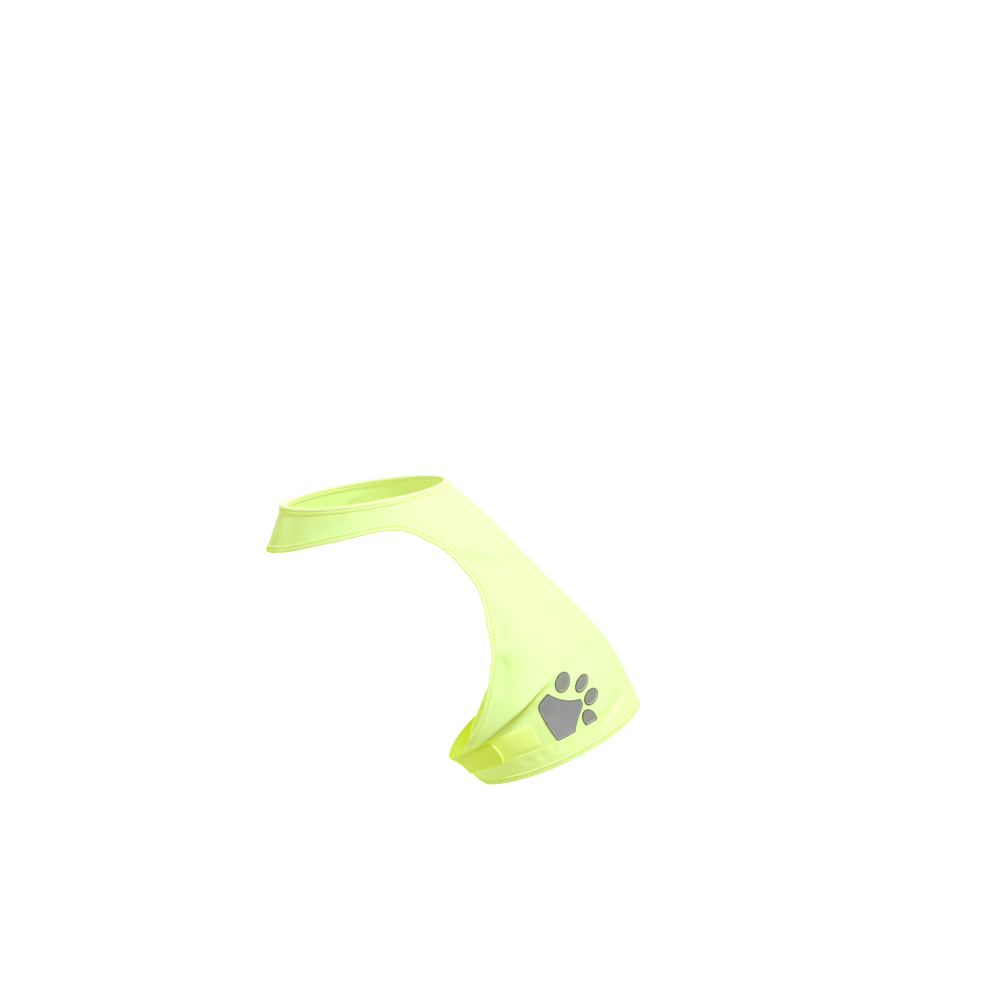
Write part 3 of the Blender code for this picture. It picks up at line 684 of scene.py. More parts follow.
# %% Group: pile, and the four groups made
def pile_group():
    """Fine pile or grain: cells with a ragged noise over them."""
    group, start, end = new_group(
        "Pile", [("Flat", "NodeSocketVector", None), ("Size", "NodeSocketFloat", 0.0007)],
        [("Height", "NodeSocketFloat"), ("Tone", "NodeSocketFloat")])
    counted = scaled(group, start.outputs["Flat"], start.outputs["Size"])
    cells = group.nodes.new("ShaderNodeTexVoronoi")
    cells.inputs["Scale"].default_value = 1.0
    group.links.new(counted, cells.inputs["Vector"])
    ragged = noise_node(group, counted, 4.0)
    height = math_node(group, "MULTIPLY_ADD", cells.outputs["Distance"], -0.6, ragged)
    group.links.new(height, end.inputs["Height"])
    tufts = noise_node(group, scaled(group, counted, 4.0), 3.0)
    group.links.new(weighted(group, tufts, 0.6, ragged, 0.4), end.inputs["Tone"])
    return group


GROUPS = {"weave": weave_group(), "tone": tone_group(), "ribs": rib_group(),
          "pile": pile_group()}
print("groups:", sorted(GROUPS))

# %% [markdown]
# ## Finishes
#
# Fluorescent cloth sends back more light than falls on it: it turns blue and violet light
# into yellow-green.  A plain yellow base looks dull beside it, so these finishes have a
# pale base colour for the light that the cloth scatters, and a steady yellow-green painted
# glow, an emission that stands in for the dye's fluorescence and doesn't follow the lamps.
# That is why its shadows stay saturated and its lit side pales.  Under the tuck the colour
# and the glow are darkened by painted shade.

# %% Helpers that start a finish
def new_finish(name, roughness, sheen=0.0):
    """A material with its shader, its output and the flat coordinates."""
    made = bpy.data.materials.new(name)
    made.use_nodes = True
    tree = made.node_tree
    shader = tree.nodes["Principled BSDF"]
    shader.inputs["Roughness"].default_value = roughness
    shader.inputs["Sheen Weight"].default_value = sheen
    flat = tree.nodes.new("ShaderNodeUVMap")
    flat.uv_map = "flat"
    return made, tree, shader, flat.outputs["UV"]


def place_group(tree, name, flat, **sizes):
    """A shared effect placed in a material with its own sizes."""
    node = tree.nodes.new("ShaderNodeGroup")
    node.node_tree = GROUPS[name]
    tree.links.new(flat, node.inputs["Flat"])
    for label, value in sizes.items():
        node.inputs[label].default_value = value
    return node


def mix_colours(tree, factor, first, second):
    """A colour between two others, each of them a socket or a fixed colour."""
    node = tree.nodes.new("ShaderNodeMix")
    node.data_type = "RGBA"
    tree.links.new(factor, node.inputs["Factor"])
    for socket, colour in zip((node.inputs[6], node.inputs[7]), (first, second)):
        if isinstance(colour, bpy.types.NodeSocket):
            tree.links.new(colour, socket)
        else:
            socket.default_value = (*colour, 1.0)
    return node.outputs[2]


def bump(tree, height, distance, strength=1.0):
    """A normal tilted by a height, whose whole range is a distance in metres."""
    node = tree.nodes.new("ShaderNodeBump")
    node.inputs["Strength"].default_value = strength
    node.inputs["Distance"].default_value = distance
    tree.links.new(height, node.inputs["Height"])
    return node.outputs["Normal"]


# %% Helpers for dyed cloth, with its painted glow and the painted shade under the fold
PAINTED_GLOW = (0.82, 1.0, 0.0)     # the colour of the painted glow, which stands in for fluorescence
GLOW_IN_PAINTED_SHADE = 0.60               # of the painted glow, left where painted shade lies under the fold
PAINTED_SHADE_TINT = (0.90, 0.72, 0.22)  # of the cloth's own colour, left in the painted shade under the fold


def painted_fold_shade(tree):
    """Painted shade under the tuck's fold, 0 to 1, read from the mesh."""
    node = tree.nodes.new("ShaderNodeAttribute")
    node.attribute_name = "painted_fold_shade"
    return node.outputs["Fac"]


def dye_and_painted_shade(tree, shader, mixed, deep, pale):
    """The cloth's own colour, darkened by painted shade under the tuck's fold."""
    painted_shade_colour = tuple(part * share for part, share in zip(deep, PAINTED_SHADE_TINT))
    tree.links.new(mix_colours(tree, painted_fold_shade(tree), mix_colours(tree, mixed, deep, pale), painted_shade_colour),
                   shader.inputs["Base Color"])


def glow(tree, shader, strength):
    """A steady painted glow that stands in for the dye's fluorescence, dimmed by the painted shade
    under the fold.
    """
    glow_in_shade = tuple(part * GLOW_IN_PAINTED_SHADE for part in PAINTED_GLOW)
    tree.links.new(mix_colours(tree, painted_fold_shade(tree), PAINTED_GLOW, glow_in_shade), shader.inputs["Emission Color"])
    shader.inputs["Emission Strength"].default_value = strength


# %% [markdown]
# ### One function for each kind of cloth
#
# Each takes a deep and a pale colour for the two ends of its tone, and the strength of its
# painted glow.  Binding is the one that changes across its width: a colour ramp runs round
# it, with a painted highlight on the tape's two edges, where it turns over the cloth's edge
# and where its outer leg ends, and painted shade in the groove along its stitches.

# %% Finish: woven cloth
def woven_finish(name, deep, pale, strength, thread, relief):
    """Fluorescent plain weave with a soft change of tone."""
    made, tree, shader, flat = new_finish(name, 0.62, sheen=0.12)
    weave = place_group(tree, "weave", flat, Thread=thread)
    tone = place_group(tree, "tone", flat, Size=0.055)
    mixed = weighted(tree, weave.outputs["Tone"], 0.45, tone.outputs["Tone"], 0.55)
    dye_and_painted_shade(tree, shader, mixed, deep, pale)
    tree.links.new(bump(tree, weave.outputs["Height"], relief, 0.7), shader.inputs["Normal"])
    glow(tree, shader, strength)
    return made


# %% Finish: binding tape
TAPE_POINTS = 28           # points round the folded tape's section
TAPE_STEP = 0.9            # between them, in flat millimetres
# the pale stops are a painted highlight on the tape's two edges, the deep ones painted shade in
# its stitch groove
TAPE_STOPS = (             # shares of the way round, from the outer leg's sewn edge
    (0.03, "edge_highlight"), (0.06, "middle"), (0.11, "middle"), (0.13, "groove_shade"),
    (0.16, "groove_shade"), (0.18, "middle"), (0.23, "edge_highlight"), (0.42, "edge_highlight"),
    (0.46, "middle"))


def binding_finish(name, groove_shade, middle, edge_highlight, strength):
    """Bias tape: a painted highlight on its two edges, and painted shade in the groove that its
    stitches draw in.
    """
    made, tree, shader, flat = new_finish(name, 0.7, sheen=0.12)
    weave = place_group(tree, "weave", flat, Thread=0.0006)
    tone = place_group(tree, "tone", flat, Size=0.03)
    parts = tree.nodes.new("ShaderNodeSeparateXYZ")
    tree.links.new(flat, parts.inputs[0])
    across = tree.nodes.new("ShaderNodeValToRGB")
    once_round = TAPE_POINTS * TAPE_STEP * MM
    tree.links.new(math_node(tree, "DIVIDE", parts.outputs[1], once_round), across.inputs["Fac"])
    colours = {"groove_shade": (*groove_shade, 1.0), "middle": (*middle, 1.0), "edge_highlight": (*edge_highlight, 1.0)}
    stops = across.color_ramp.elements
    stops[0].color = colours["edge_highlight"]
    stops[1].color = colours["middle"]
    for position, place in TAPE_STOPS:
        stops.new(position).color = colours[place]
    mixed = weighted(tree, weave.outputs["Tone"], 0.3, tone.outputs["Tone"], 0.3)
    tree.links.new(mix_colours(tree, mixed, across.outputs["Color"], middle),
                   shader.inputs["Base Color"])
    tree.links.new(bump(tree, weave.outputs["Height"], 0.00016, 0.7), shader.inputs["Normal"])
    glow(tree, shader, strength)
    return made


# %% Finishes: webbing and pile
def ribbed_finish(name, deep, pale, strength):
    """Fluorescent elastic webbing: its ribs set both its tone and its relief."""
    made, tree, shader, flat = new_finish(name, 0.7, sheen=0.1)
    ribs = place_group(tree, "ribs", flat, Rib=0.0011)
    weave = place_group(tree, "weave", flat, Thread=0.00055)
    mixed = weighted(tree, ribs.outputs["Height"], 0.6, weave.outputs["Tone"], 0.4)
    dye_and_painted_shade(tree, shader, mixed, deep, pale)
    tree.links.new(bump(tree, ribs.outputs["Height"], 0.00025, 0.8), shader.inputs["Normal"])
    glow(tree, shader, strength)
    return made


def pile_finish(name, deep, pale, strength, size, relief):
    """Fluorescent touch tape, rough all over."""
    made, tree, shader, flat = new_finish(name, 0.9, sheen=0.3)
    pile = place_group(tree, "pile", flat, Size=size)
    dye_and_painted_shade(tree, shader, pile.outputs["Tone"], deep, pale)
    tree.links.new(bump(tree, pile.outputs["Height"], relief), shader.inputs["Normal"])
    glow(tree, shader, strength)
    return made


# %% [markdown]
# ### Reflective tape's finish
#
# The grey tape is a skin of glass beads on foil.  It doesn't glow.  Seen without a lamp
# beside the eye it is a plain mid grey, so a fine grain and a touch of metal are enough.

# %% Finish: reflective tape
def reflective_finish(name, deep, pale, roughness, metallic):
    """Grey tape with a skin of glass beads: a fine even grain, slightly metallic."""
    made, tree, shader, flat = new_finish(name, roughness)
    shader.inputs["Metallic"].default_value = metallic
    beads = place_group(tree, "pile", flat, Size=0.00028)
    tone = place_group(tree, "tone", flat, Size=0.012)
    mixed = weighted(tree, beads.outputs["Tone"], 0.4, tone.outputs["Tone"], 0.6)
    tree.links.new(mix_colours(tree, mixed, deep, pale), shader.inputs["Base Color"])
    tree.links.new(bump(tree, beads.outputs["Height"], 0.00005, 0.5), shader.inputs["Normal"])
    return made


# %% The vest's own finishes
FINE_THREAD, FINE_RELIEF = 0.00042, 0.00008
PANEL_CLOTH = woven_finish("fluorescent panel cloth", (0.29, 0.44, 0.34), (0.35, 0.50, 0.41),
                           0.52, FINE_THREAD, FINE_RELIEF)
# the panel's cloth, painted a little paler as light on the hem band
BAND_CLOTH_PAINTED_PALER = woven_finish("fluorescent band cloth, painted paler", (0.33, 0.46, 0.35), (0.39, 0.52, 0.43),
                          0.52, FINE_THREAD, FINE_RELIEF)
# groove: painted shade; middle: the tape's own colour; edges: a painted highlight
BINDING_TAPE = binding_finish("binding tape", (0.22, 0.34, 0.13), (0.34, 0.46, 0.40),
                              (0.50, 0.56, 0.56), 0.52)
STRAP_WEBBING = ribbed_finish("elastic webbing", (0.24, 0.32, 0.03), (0.36, 0.43, 0.11), 0.50)
# a paler copy of the webbing, painted on the strap's end as a highlight on its edge
STRAP_END_HIGHLIGHT = ribbed_finish("webbing, painted highlight on the end", (0.44, 0.50, 0.24), (0.56, 0.60, 0.40),
                               0.46)
LOOP_PILE = pile_finish("loop pile", (0.30, 0.42, 0.18), (0.54, 0.64, 0.50), 0.58,
                        0.0009, 0.0006)
LOOP_EDGE = woven_finish("woven edge of loop tape", (0.40, 0.50, 0.40), (0.48, 0.56, 0.48),
                         0.56, 0.0005, 0.00012)
HOOK_TAPE = pile_finish("hook tape", (0.30, 0.38, 0.10), (0.42, 0.48, 0.22), 0.40,
                        0.0011, 0.0004)
THREAD = woven_finish("sewing thread", (0.40, 0.46, 0.22), (0.50, 0.54, 0.36), 0.48,
                      0.00025, 0.00005)
REFLECTOR = reflective_finish("reflective tape", (0.235, 0.245, 0.24), (0.30, 0.31, 0.30),
                              0.42, 0.25)
# a paler copy of the tape, painted on the step inside every rim as a highlight
REFLECTOR_PAINTED_HIGHLIGHT = reflective_finish("reflective tape, painted highlight on the step", (0.34, 0.35, 0.35),
                                   (0.46, 0.47, 0.47), 0.65, 0.0)
REFLECTOR_TOE = reflective_finish("reflective tape, toes", (0.225, 0.235, 0.17),
                                  (0.30, 0.31, 0.235), 0.42, 0.1)
REFLECTOR_RIM = reflective_finish("reflective tape, pressed rim", (0.05, 0.06, 0.055),
                                  (0.10, 0.11, 0.10), 0.6, 0.1)
print("finishes:", len(bpy.data.materials))

# %% [markdown]
# ## The back panel
#
# The panel is one piece of coated woven polyester.

# %% Back panel
GAP = 0.3                  # between pieces that are sewn or pressed together
LEG = CLOTH / 2 + GAP      # from the cloth's middle to what lies on it
PAINTED_SHADE_ROWS = (-0.025, 0.01)  # rows of the cut from the tuck, over which the painted shade under its lip starts
PAINTED_SHADE_FADES = (1.5, 13.0)      # below the fold line, where that painted shade fades

whole = SHEET.part(np.ones(len(SHEET.cells), bool))    # without the points that joining spared
# Painted shade under the tuck's lip: a mask that darkens the cloth's colour and its glow there
painted_shade_under_lip = smooth_step(*PAINTED_SHADE_ROWS, CUT_ROW - TUCK_ROW)[:, None] * (
    1 - smooth_step(*PAINTED_SHADE_FADES, ALONG - fold_line(AROUND))) * tuck_fold(AROUND)
painted_shade_share = np.zeros(len(SHEET.points))
for side in (1, -1):
    painted_shade_share[NUMBER[side]] = painted_shade_under_lip * TUCK_DEPTH[side]
panel = add_piece("back_panel_cloth", wall(whole, -CLOTH / 2, CLOTH / 2), [PANEL_CLOTH],
                  ["back_panel"],
                  painted_shade_share=np.tile(painted_shade_share[np.unique(SHEET.cells)], 2))

# %% [markdown]
# ## The hem band
#
# Along the hem a second layer of the same cloth is sewn on, folded under at its upper edge.
# It is the sheet again, moved out by one layer, with a soft fold at its edge.  The puckers
# that its stitches pull are already in the sheet, so both layers share them, and they are
# what makes a sewn hem look sewn.

# %% Hem band
BAND = 1.0
FOLD_LOW = 0.45            # of the band's height, at its folded edge
FOLD_ROUND = 1.6           # over this width the folded edge comes up to full height
SWELL = 0.25               # how much the band fills out between its seam and the binding
SWELL_RISES, SWELL_FALLS = (2, 7), (12, 18)    # below its edge


def band_line(around):
    """How far down the back the band's upper edge lies, at degrees around."""
    share = np.clip(1 - np.abs(around) / EDGE_AROUND[BAND_ROW], 0, 1)
    return cut_place(BAND_ROW, share)[0]


band_sheet = SHEET.part(CELL_ROW >= BAND_ROW)
from_seam = band_sheet.flat[:, 1] - band_line(band_sheet.flat[:, 0] / MM_PER_DEGREE)
fold = FOLD_LOW + (1 - FOLD_LOW) * smooth_step(0, FOLD_ROUND, from_seam)
swell = smooth_step(*SWELL_RISES, from_seam) * (1 - smooth_step(*SWELL_FALLS, from_seam))
# its finish is the panel's cloth painted paler, standing in for light on the band
add_piece("hem_band_cloth", wall(band_sheet, LEG, LEG + BAND * fold + SWELL * swell),
          [BAND_CLOTH_PAINTED_PALER], ["hem_band"])

# %% [markdown]
# ## Bindings
#
# Bias tape is folded over the raw edge and sewn through all layers.  It rounds the edge,
# takes the corner of the hem in one run and ripples a little between its stitches.  Here its
# section is a U of real thickness.  The tape's inner width is laid out along the surface, so
# that it follows the curves of the panel, and the section is carried along the edge.  For
# that, `settle` finds the nearest place on the sheet with a normal smoothed over its cell.

# %% Helpers that follow the panel's surface
PANEL_TREE = BVHTree.FromPolygons(SHEET.points.tolist(), SHEET.cells.tolist())


def soft_normal(place, cell):
    """The sheet's normal at a place in a cell, smoothed over the cell's corners."""
    corners = SHEET.cells[cell]
    weights = 1 / (np.linalg.norm(SHEET.points[corners] - place, axis=1) + 0.05) ** 2
    return unit(weights @ SHEET.normals[corners])


def settle(points):
    """The nearest places on the sheet, and their normals."""
    places, normals = np.zeros_like(points), np.zeros_like(points)
    for k, point in enumerate(points):
        place, _, cell, _ = PANEL_TREE.find_nearest(Vector(point))
        places[k] = place
        normals[k] = soft_normal(places[k], cell)
    return places, normals


def painted_shade_near(points):
    """The painted shade under the tuck at each of some points, read off the nearest cell of the
    panel.
    """
    cells = [PANEL_TREE.find_nearest(Vector(point))[2] for point in points]
    return painted_shade_share[SHEET.cells[cells]].mean(axis=1)


def resample(values, points, spacing):
    """Values read at even steps along a line of points."""
    run = np.concatenate([[0], np.cumsum(np.linalg.norm(np.diff(points, axis=0), axis=1))])
    wanted = np.linspace(0, run[-1], max(3, round(run[-1] / spacing) + 1))
    columns = np.reshape(values, (len(run), -1)).T
    return np.stack([np.interp(wanted, run, line) for line in columns], -1)


def smoothed(values, times):
    """A line's values with each one drawn towards its neighbours, ends kept."""
    for _ in range(times):
        values = np.concatenate([values[:1], (values[:-2] + 2 * values[1:-1] + values[2:]) / 4,
                                 values[2:][-1:]])
    return values


# %% Helper that reads an edge of the sheet
STATION = 2.4              # along the edge, between sections


def edge_line(numbers):
    """Points, normals, rows of the cut and the way along a bound edge."""
    row_of = np.zeros(len(SHEET.points))
    for side in (1, -1):
        row_of[NUMBER[side]] = np.maximum(row_of[NUMBER[side]], CUT_ROW[:, None])
    points = SHEET.points[numbers]
    rows = resample(row_of[numbers], points, STATION)[:, 0]
    normals = unit(smoothed(resample(SHEET.normals[numbers], points, STATION), 2))
    points = smoothed(resample(points, points, STATION), 1)
    way = unit(smoothed(np.gradient(points, axis=0), 3))
    return points, normals, rows, way


# %% Helper that folds tape over an edge
BINDING = 0.8
LEG_OVER_BAND = LEG + BAND + GAP
LEG_PROFILE = ((0.0, 0.0), (0.9, 0.25), (2.2, 0.30), (3.2, -0.25), (4.1, 0.15), (5.1, 0.12),
               (5.7, -0.10), (6.0, -0.45))   # in from the edge, and added to the thickness
STITCH_AT = 3              # the profile's point that the stitches draw in
STITCH_IN = LEG_PROFILE[STITCH_AT][0]
STITCH_SUNK = 0.22         # into the tape
NOSE = (60, 25, -25, -60)  # degrees round the edge, of the points on the turned side
RIPPLE, RIPPLE_LENGTH = 0.16, 4.2
ONTO_BAND = (BAND_ROW - 0.3, BAND_ROW - 0.02)  # rows over which the tape climbs the band


def ripple(count, seed=1.7):
    """The small rise and fall of sewn tape along its run."""
    return np.array([RIPPLE * noise.noise(Vector((k * STATION / RIPPLE_LENGTH, seed, 0.5)))
                     for k in range(count)])


def binding(name, numbers, inward, replaced):
    """A folded tape over an edge of the sheet, and its stitch lines, outer and inner."""
    edge, normals, rows, way = edge_line(numbers)
    inwards = unit(np.cross(way, normals)) * inward
    over = LEG + (LEG_OVER_BAND - LEG) * smooth_step(*ONTO_BAND, rows)
    legs = [settle(edge + inwards * reach) for reach, _ in LEG_PROFILE[1:]]
    legs.insert(0, (edge, normals))
    wave = ripple(len(edge))
    outer = [p + n * (over + BINDING + more + wave)[:, None]
             for (p, n), (_, more) in zip(legs, LEG_PROFILE)]
    inner = [p - n * (LEG + BINDING + more - wave)[:, None]
             for (p, n), (_, more) in zip(legs, LEG_PROFILE)]
    nose = []
    for turn in np.radians(NOSE):
        high = np.where(turn > 0, over, LEG) + BINDING
        nose.append(edge - inwards * (GAP + BINDING) * math.cos(turn)
                    + normals * (high * math.sin(turn))[:, None])
    (end, end_normals), (sewn, sewn_normals) = legs[-1], legs[STITCH_AT]
    over_leg = over[:, None]
    hollow = [end - end_normals * LEG, sewn - sewn_normals * LEG, edge - normals * LEG,
              edge - inwards * GAP - normals * LEG * 0.6,
              edge - inwards * GAP + normals * over_leg * 0.6,
              edge + normals * over_leg, sewn + sewn_normals * over_leg,
              end + end_normals * over_leg]
    section = outer[::-1] + nose + inner + hollow
    count, size = len(edge), len(section)
    points = np.stack(section, 1).reshape(-1, 3)
    run = np.concatenate([[0], np.cumsum(np.linalg.norm(np.diff(edge, axis=0), axis=1))])
    flat = np.stack([np.repeat(run, size), np.tile(np.arange(size) * TAPE_STEP, count)], -1)
    grid = np.arange(count * size).reshape(count, size)
    after = np.roll(grid, -1, axis=1)
    faces = np.stack([grid[:-1], after[:-1], after[1:], grid[1:]], -1).reshape(-1, 4)
    faces = [tuple(f) for f in (faces if inward < 0 else faces[:, ::-1]).tolist()]
    caps = [tuple(grid[0].tolist()), tuple(grid[-1].tolist())]
    faces += [caps[0][::-1], caps[1]] if inward < 0 else [caps[0], caps[1][::-1]]
    add_piece(name, (points, faces, flat), [BINDING_TAPE], [replaced])
    at, at_normals = settle(edge + inwards * STITCH_IN)
    low = BINDING - STITCH_SUNK
    return ((at + at_normals * (over + low + wave)[:, None], at_normals),
            (at - at_normals * (LEG + low - wave)[:, None], -at_normals))


# %% Neck binding and outer binding
withers = int(np.argmax(CUT_ROW >= WITHERS_ROW - 1e-6))
neck_edge = np.concatenate([NUMBER[1][:withers + 1, SPINE], NUMBER[-1][:withers, SPINE][::-1]])
left_edge = np.concatenate([NUMBER[1][:, EDGE], NUMBER[1][-1, 1:]])
right_edge = np.concatenate([NUMBER[-1][:, EDGE], NUMBER[-1][-1, 1:-1]])
neck_seams = binding("neck_binding", neck_edge, 1, "binding_neck")
outer_seams = binding("outer_binding", np.concatenate([left_edge, right_edge[::-1]]), -1,
                      "binding_outer")

# %% [markdown]
# ## Stitches
#
# Every seam shows a row of lockstitches: short rounded threads, each a little sunk at both
# ends where the needle went through.  One small capsule repeated along a line is enough, and
# a whole seam is one mesh.

# %% Helper that sews a seam
STITCH = 2.5               # length of one stitch
STITCH_STEP = 3.3
THREAD_RADIUS = 0.24
STITCH_RINGS = ((-1.0, 0.3, -0.32), (-0.72, 0.9, -0.06), (0.0, 1.0, 0.06), (0.72, 0.9, -0.06),
                (1.0, 0.3, -0.32))   # along, thickness, height
STITCH_RISE = 0.7          # of a ring whose height is 1
STITCH_SIDES = 6
THREAD_FLAT = 0.8          # a thread's height, beside its width


def sew(name, seams):
    """Rows of stitches along seams, each a line of points with its normals."""
    turns = np.radians(np.arange(STITCH_SIDES) * 360 / STITCH_SIDES)
    points, faces = [], []
    for line, normals in seams:
        run = np.linalg.norm(np.diff(line, axis=0), axis=1).sum()
        count = max(2, int(run / STITCH_STEP))
        fine = resample(line, line, run / count)
        facing = unit(resample(normals, line, run / count))
        middle = (fine[1:] + fine[:-1]) / 2
        way = unit(fine[1:] - fine[:-1])
        up = unit(facing[1:] + facing[:-1])
        across = np.cross(way, up)
        rings = []
        for along, thick, high in STITCH_RINGS:
            centre = middle + way * (along * STITCH / 2) + up * (high * STITCH_RISE)
            for turn in turns:
                spoke = across * math.cos(turn) + up * math.sin(turn) * THREAD_FLAT
                rings.append(centre + spoke * THREAD_RADIUS * thick)
        block = np.stack(rings, 1)
        size = block.shape[1]
        for k in range(len(block)):
            first = sum(len(p) for p in points)
            points.append(block[k])
            for ring in range(len(STITCH_RINGS) - 1):
                for side in range(STITCH_SIDES):
                    a = first + ring * STITCH_SIDES + side
                    b = first + ring * STITCH_SIDES + (side + 1) % STITCH_SIDES
                    faces.append((a, a + STITCH_SIDES, b + STITCH_SIDES, b))
            faces.append(tuple(range(first, first + STITCH_SIDES)))
            faces.append(tuple(reversed(range(first + size - STITCH_SIDES, first + size))))
    points = np.concatenate(points)
    flat = points[:, [0, 2]]
    add_piece(name, (points, faces, flat), [THREAD], crisp=70)


# %% Seams of the bindings and the band
sew("stitches_of_the_neck_binding", neck_seams)
sew("stitches_of_the_outer_binding", outer_seams)


BAND_SEAM_IN = 1.9         # below the band's folded edge
BAND_SEAM_REACH = 147      # degrees around, just short of the armhole
THREAD_LIFT = 0.02         # of a thread's middle above the cloth

around = np.linspace(-BAND_SEAM_REACH, BAND_SEAM_REACH, 160)
seam, seam_normals = settle(skin(band_line(around) + BAND_SEAM_IN, around))
over_seam = seam + seam_normals * (LEG + BAND + THREAD_LIFT)
under_seam = seam - seam_normals * (CLOTH / 2 + THREAD_LIFT)
sew("stitches_of_the_hem_band", [(over_seam, seam_normals), (under_seam, -seam_normals)])

# %% [markdown]
# ## The belly strap
#
# The strap is elastic webbing, thicker in the middle than at its selvedges.  It runs from
# one flank under the belly to the other, where its left end is folded back on itself, sewn,
# and closed on the loop patch.  It is laid along its own middle line and stays flat across,
# so `ribbon` steps sideways over the figure at right angles to that line.

# %% Helpers that lay a ribbon over the figure
STRAP = 1.4
STRAP_WIDTH = 26.0
STRAP_END = 112            # degrees around, where each end lies on the flank
STRAP_DROP = 13.0          # further along under the belly
STRAP_LIFT = 3.3           # inner face above the panel's middle
STRAP_SETTLES = (164, 178)  # degrees around, where it comes down onto the wearer
BULGE_REACH = 12           # degrees, over which a round end evens out


def strap_line(around):
    """Along and lift of the strap's middle line, at degrees around."""
    from_flank = np.minimum(around, 360 - around)
    along = STRAP_ON_FLANK + STRAP_DROP * smooth_step(STRAP_END, 180, from_flank)
    lift = STRAP_LIFT - (STRAP_LIFT - CLOTH) * smooth_step(*STRAP_SETTLES, from_flank)
    return along, lift


def step_sideways(along, around, way, distance):
    """Steps over the figure at right angles to a way, to a new along and around."""
    across = unit(np.cross(outwards(along, around), way))
    by_along = (tube(along + 1, around) - tube(along - 1, around)) / 2
    by_around = tube(along, around + 0.5) - tube(along, around - 0.5)

    def dot(a, b):
        return (a * b).sum(-1)

    aa, ab, bb = dot(by_along, by_along), dot(by_along, by_around), dot(by_around, by_around)
    da, db = dot(across, by_along), dot(across, by_around)
    scale = distance / (aa * bb - ab * ab)
    return along + scale * (da * bb - db * ab), around + scale * (db * aa - da * ab)


def ribbon(around, line, width, columns, end_bulge=0.0):
    """A flat strip over the figure as a sheet.  line gives along and lift at degrees around."""
    share = np.linspace(-1, 1, columns + 1)[None, :]
    near_end = smooth_step(BULGE_REACH, 0, np.abs(around - around[0]))[:, None]
    around = around[:, None] - end_bulge * (1 - share ** 2) * near_end
    along, lift = line(around)
    way = skin(*line(around + 0.5)[:1], around + 0.5) - skin(*line(around - 0.5)[:1], around - 0.5)
    reach = width / 2 * np.broadcast_to(share, around.shape)
    to_along, to_around = step_sideways(along, around, way, reach)
    points = skin(to_along, to_around, lift)
    run = np.concatenate([[0], np.cumsum(np.linalg.norm(
        np.diff(points[:, columns // 2], axis=0), axis=1))])
    flat = np.stack(np.broadcast_arrays(run[:, None], reach), -1).reshape(-1, 2)
    grid = np.arange(points.shape[0] * points.shape[1]).reshape(points.shape[:2])
    cells = np.stack([grid[:-1, :-1], grid[1:, :-1], grid[1:, 1:], grid[:-1, 1:]], -1)
    made = Sheet(points.reshape(-1, 3), cells.reshape(-1, 4), flat)
    middle = outwards(to_along, to_around).reshape(-1, 3)
    if (made.normals * middle).sum() < 0:
        made.normals = -made.normals
        made.cells = made.cells[:, ::-1]
    return made


# %% Belly strap
STRAP_END_BULGE = 1.6      # degrees, by which its end is cut round
FINE_END = 8               # degrees from the left end, with rows closer together
CROWN_FROM = 0.72          # share of the half width, from which the webbing thins
CROWN_FALL = 0.35          # how much thinner its woven sides are
FOLDED_BACK = 0.55         # added where its end is folded under
FOLDED_TO = (9.0, 10.5)    # from the end, where that second layer stops
END_LOW = 0.35             # of its thickness, at the very end
END_ROUND = (-0.2, 0.9)    # from the end, over which it comes up to full thickness
END_HIGHLIGHT_REACH = 1.1             # from the end, the strip painted paler as a highlight on the end's edge

strap_around = np.concatenate([
    np.linspace(STRAP_END, STRAP_END + FINE_END, 24),
    np.linspace(STRAP_END + FINE_END + 1, 360 - STRAP_END, 128)])
strap_sheet = ribbon(strap_around, strap_line, STRAP_WIDTH, 12, STRAP_END_BULGE)
from_end = strap_sheet.flat[:, 0]
across_strap = np.abs(strap_sheet.flat[:, 1]) / (STRAP_WIDTH / 2)
crown = 1 - CROWN_FALL * smooth_step(CROWN_FROM, 1.0, across_strap)
folded_back = FOLDED_BACK * (1 - smooth_step(*FOLDED_TO, from_end))
rounded = END_LOW + (1 - END_LOW) * smooth_step(*END_ROUND, from_end)
strap_top = (STRAP * crown + folded_back) * rounded
strap_shape = wall(strap_sheet, 0.0, strap_top)
# its last strip is a paler copy of the webbing, a painted highlight on the end's edge, and the
# strap takes the painted shade of the tuck above it
strap = add_piece("belly_strap_webbing", strap_shape, [STRAP_WEBBING, STRAP_END_HIGHLIGHT],
                  ["belly_strap"],
                  faces_of=faces_below(strap_shape, strap_shape[2][:, 0], END_HIGHLIGHT_REACH),
                  painted_shade_share=np.tile(painted_shade_near(strap_sheet.points), 2))
print("strap length: %.0f mm" % from_end.max())

# %% [markdown]
# ### The strap's left end
#
# Under the end lies a piece of hook tape, as wide as the loop patch that it grips.  One seam
# across the end and one along each side hold the hooks and the folded webbing together.

# %% Hook tape under the strap's left end
TAPE_HOOK = 0.8
HOOK_SPAN = (116, 128)     # degrees around
PATCH_WIDTH = 23.0

hook_sheet = ribbon(np.linspace(*HOOK_SPAN, 17), strap_line, PATCH_WIDTH, 10)
add_piece("strap_hook_tape_hooks", wall(hook_sheet, -GAP - TAPE_HOOK, -GAP), [HOOK_TAPE],
          ["strap_hook_tape"])

# %% Stitches of the strap's left end
CUFF = (3.0, 26.0)         # from the end: its seam across, and how far its sides are sewn
CUFF_SEAM_IN = 2.4         # from the webbing's side


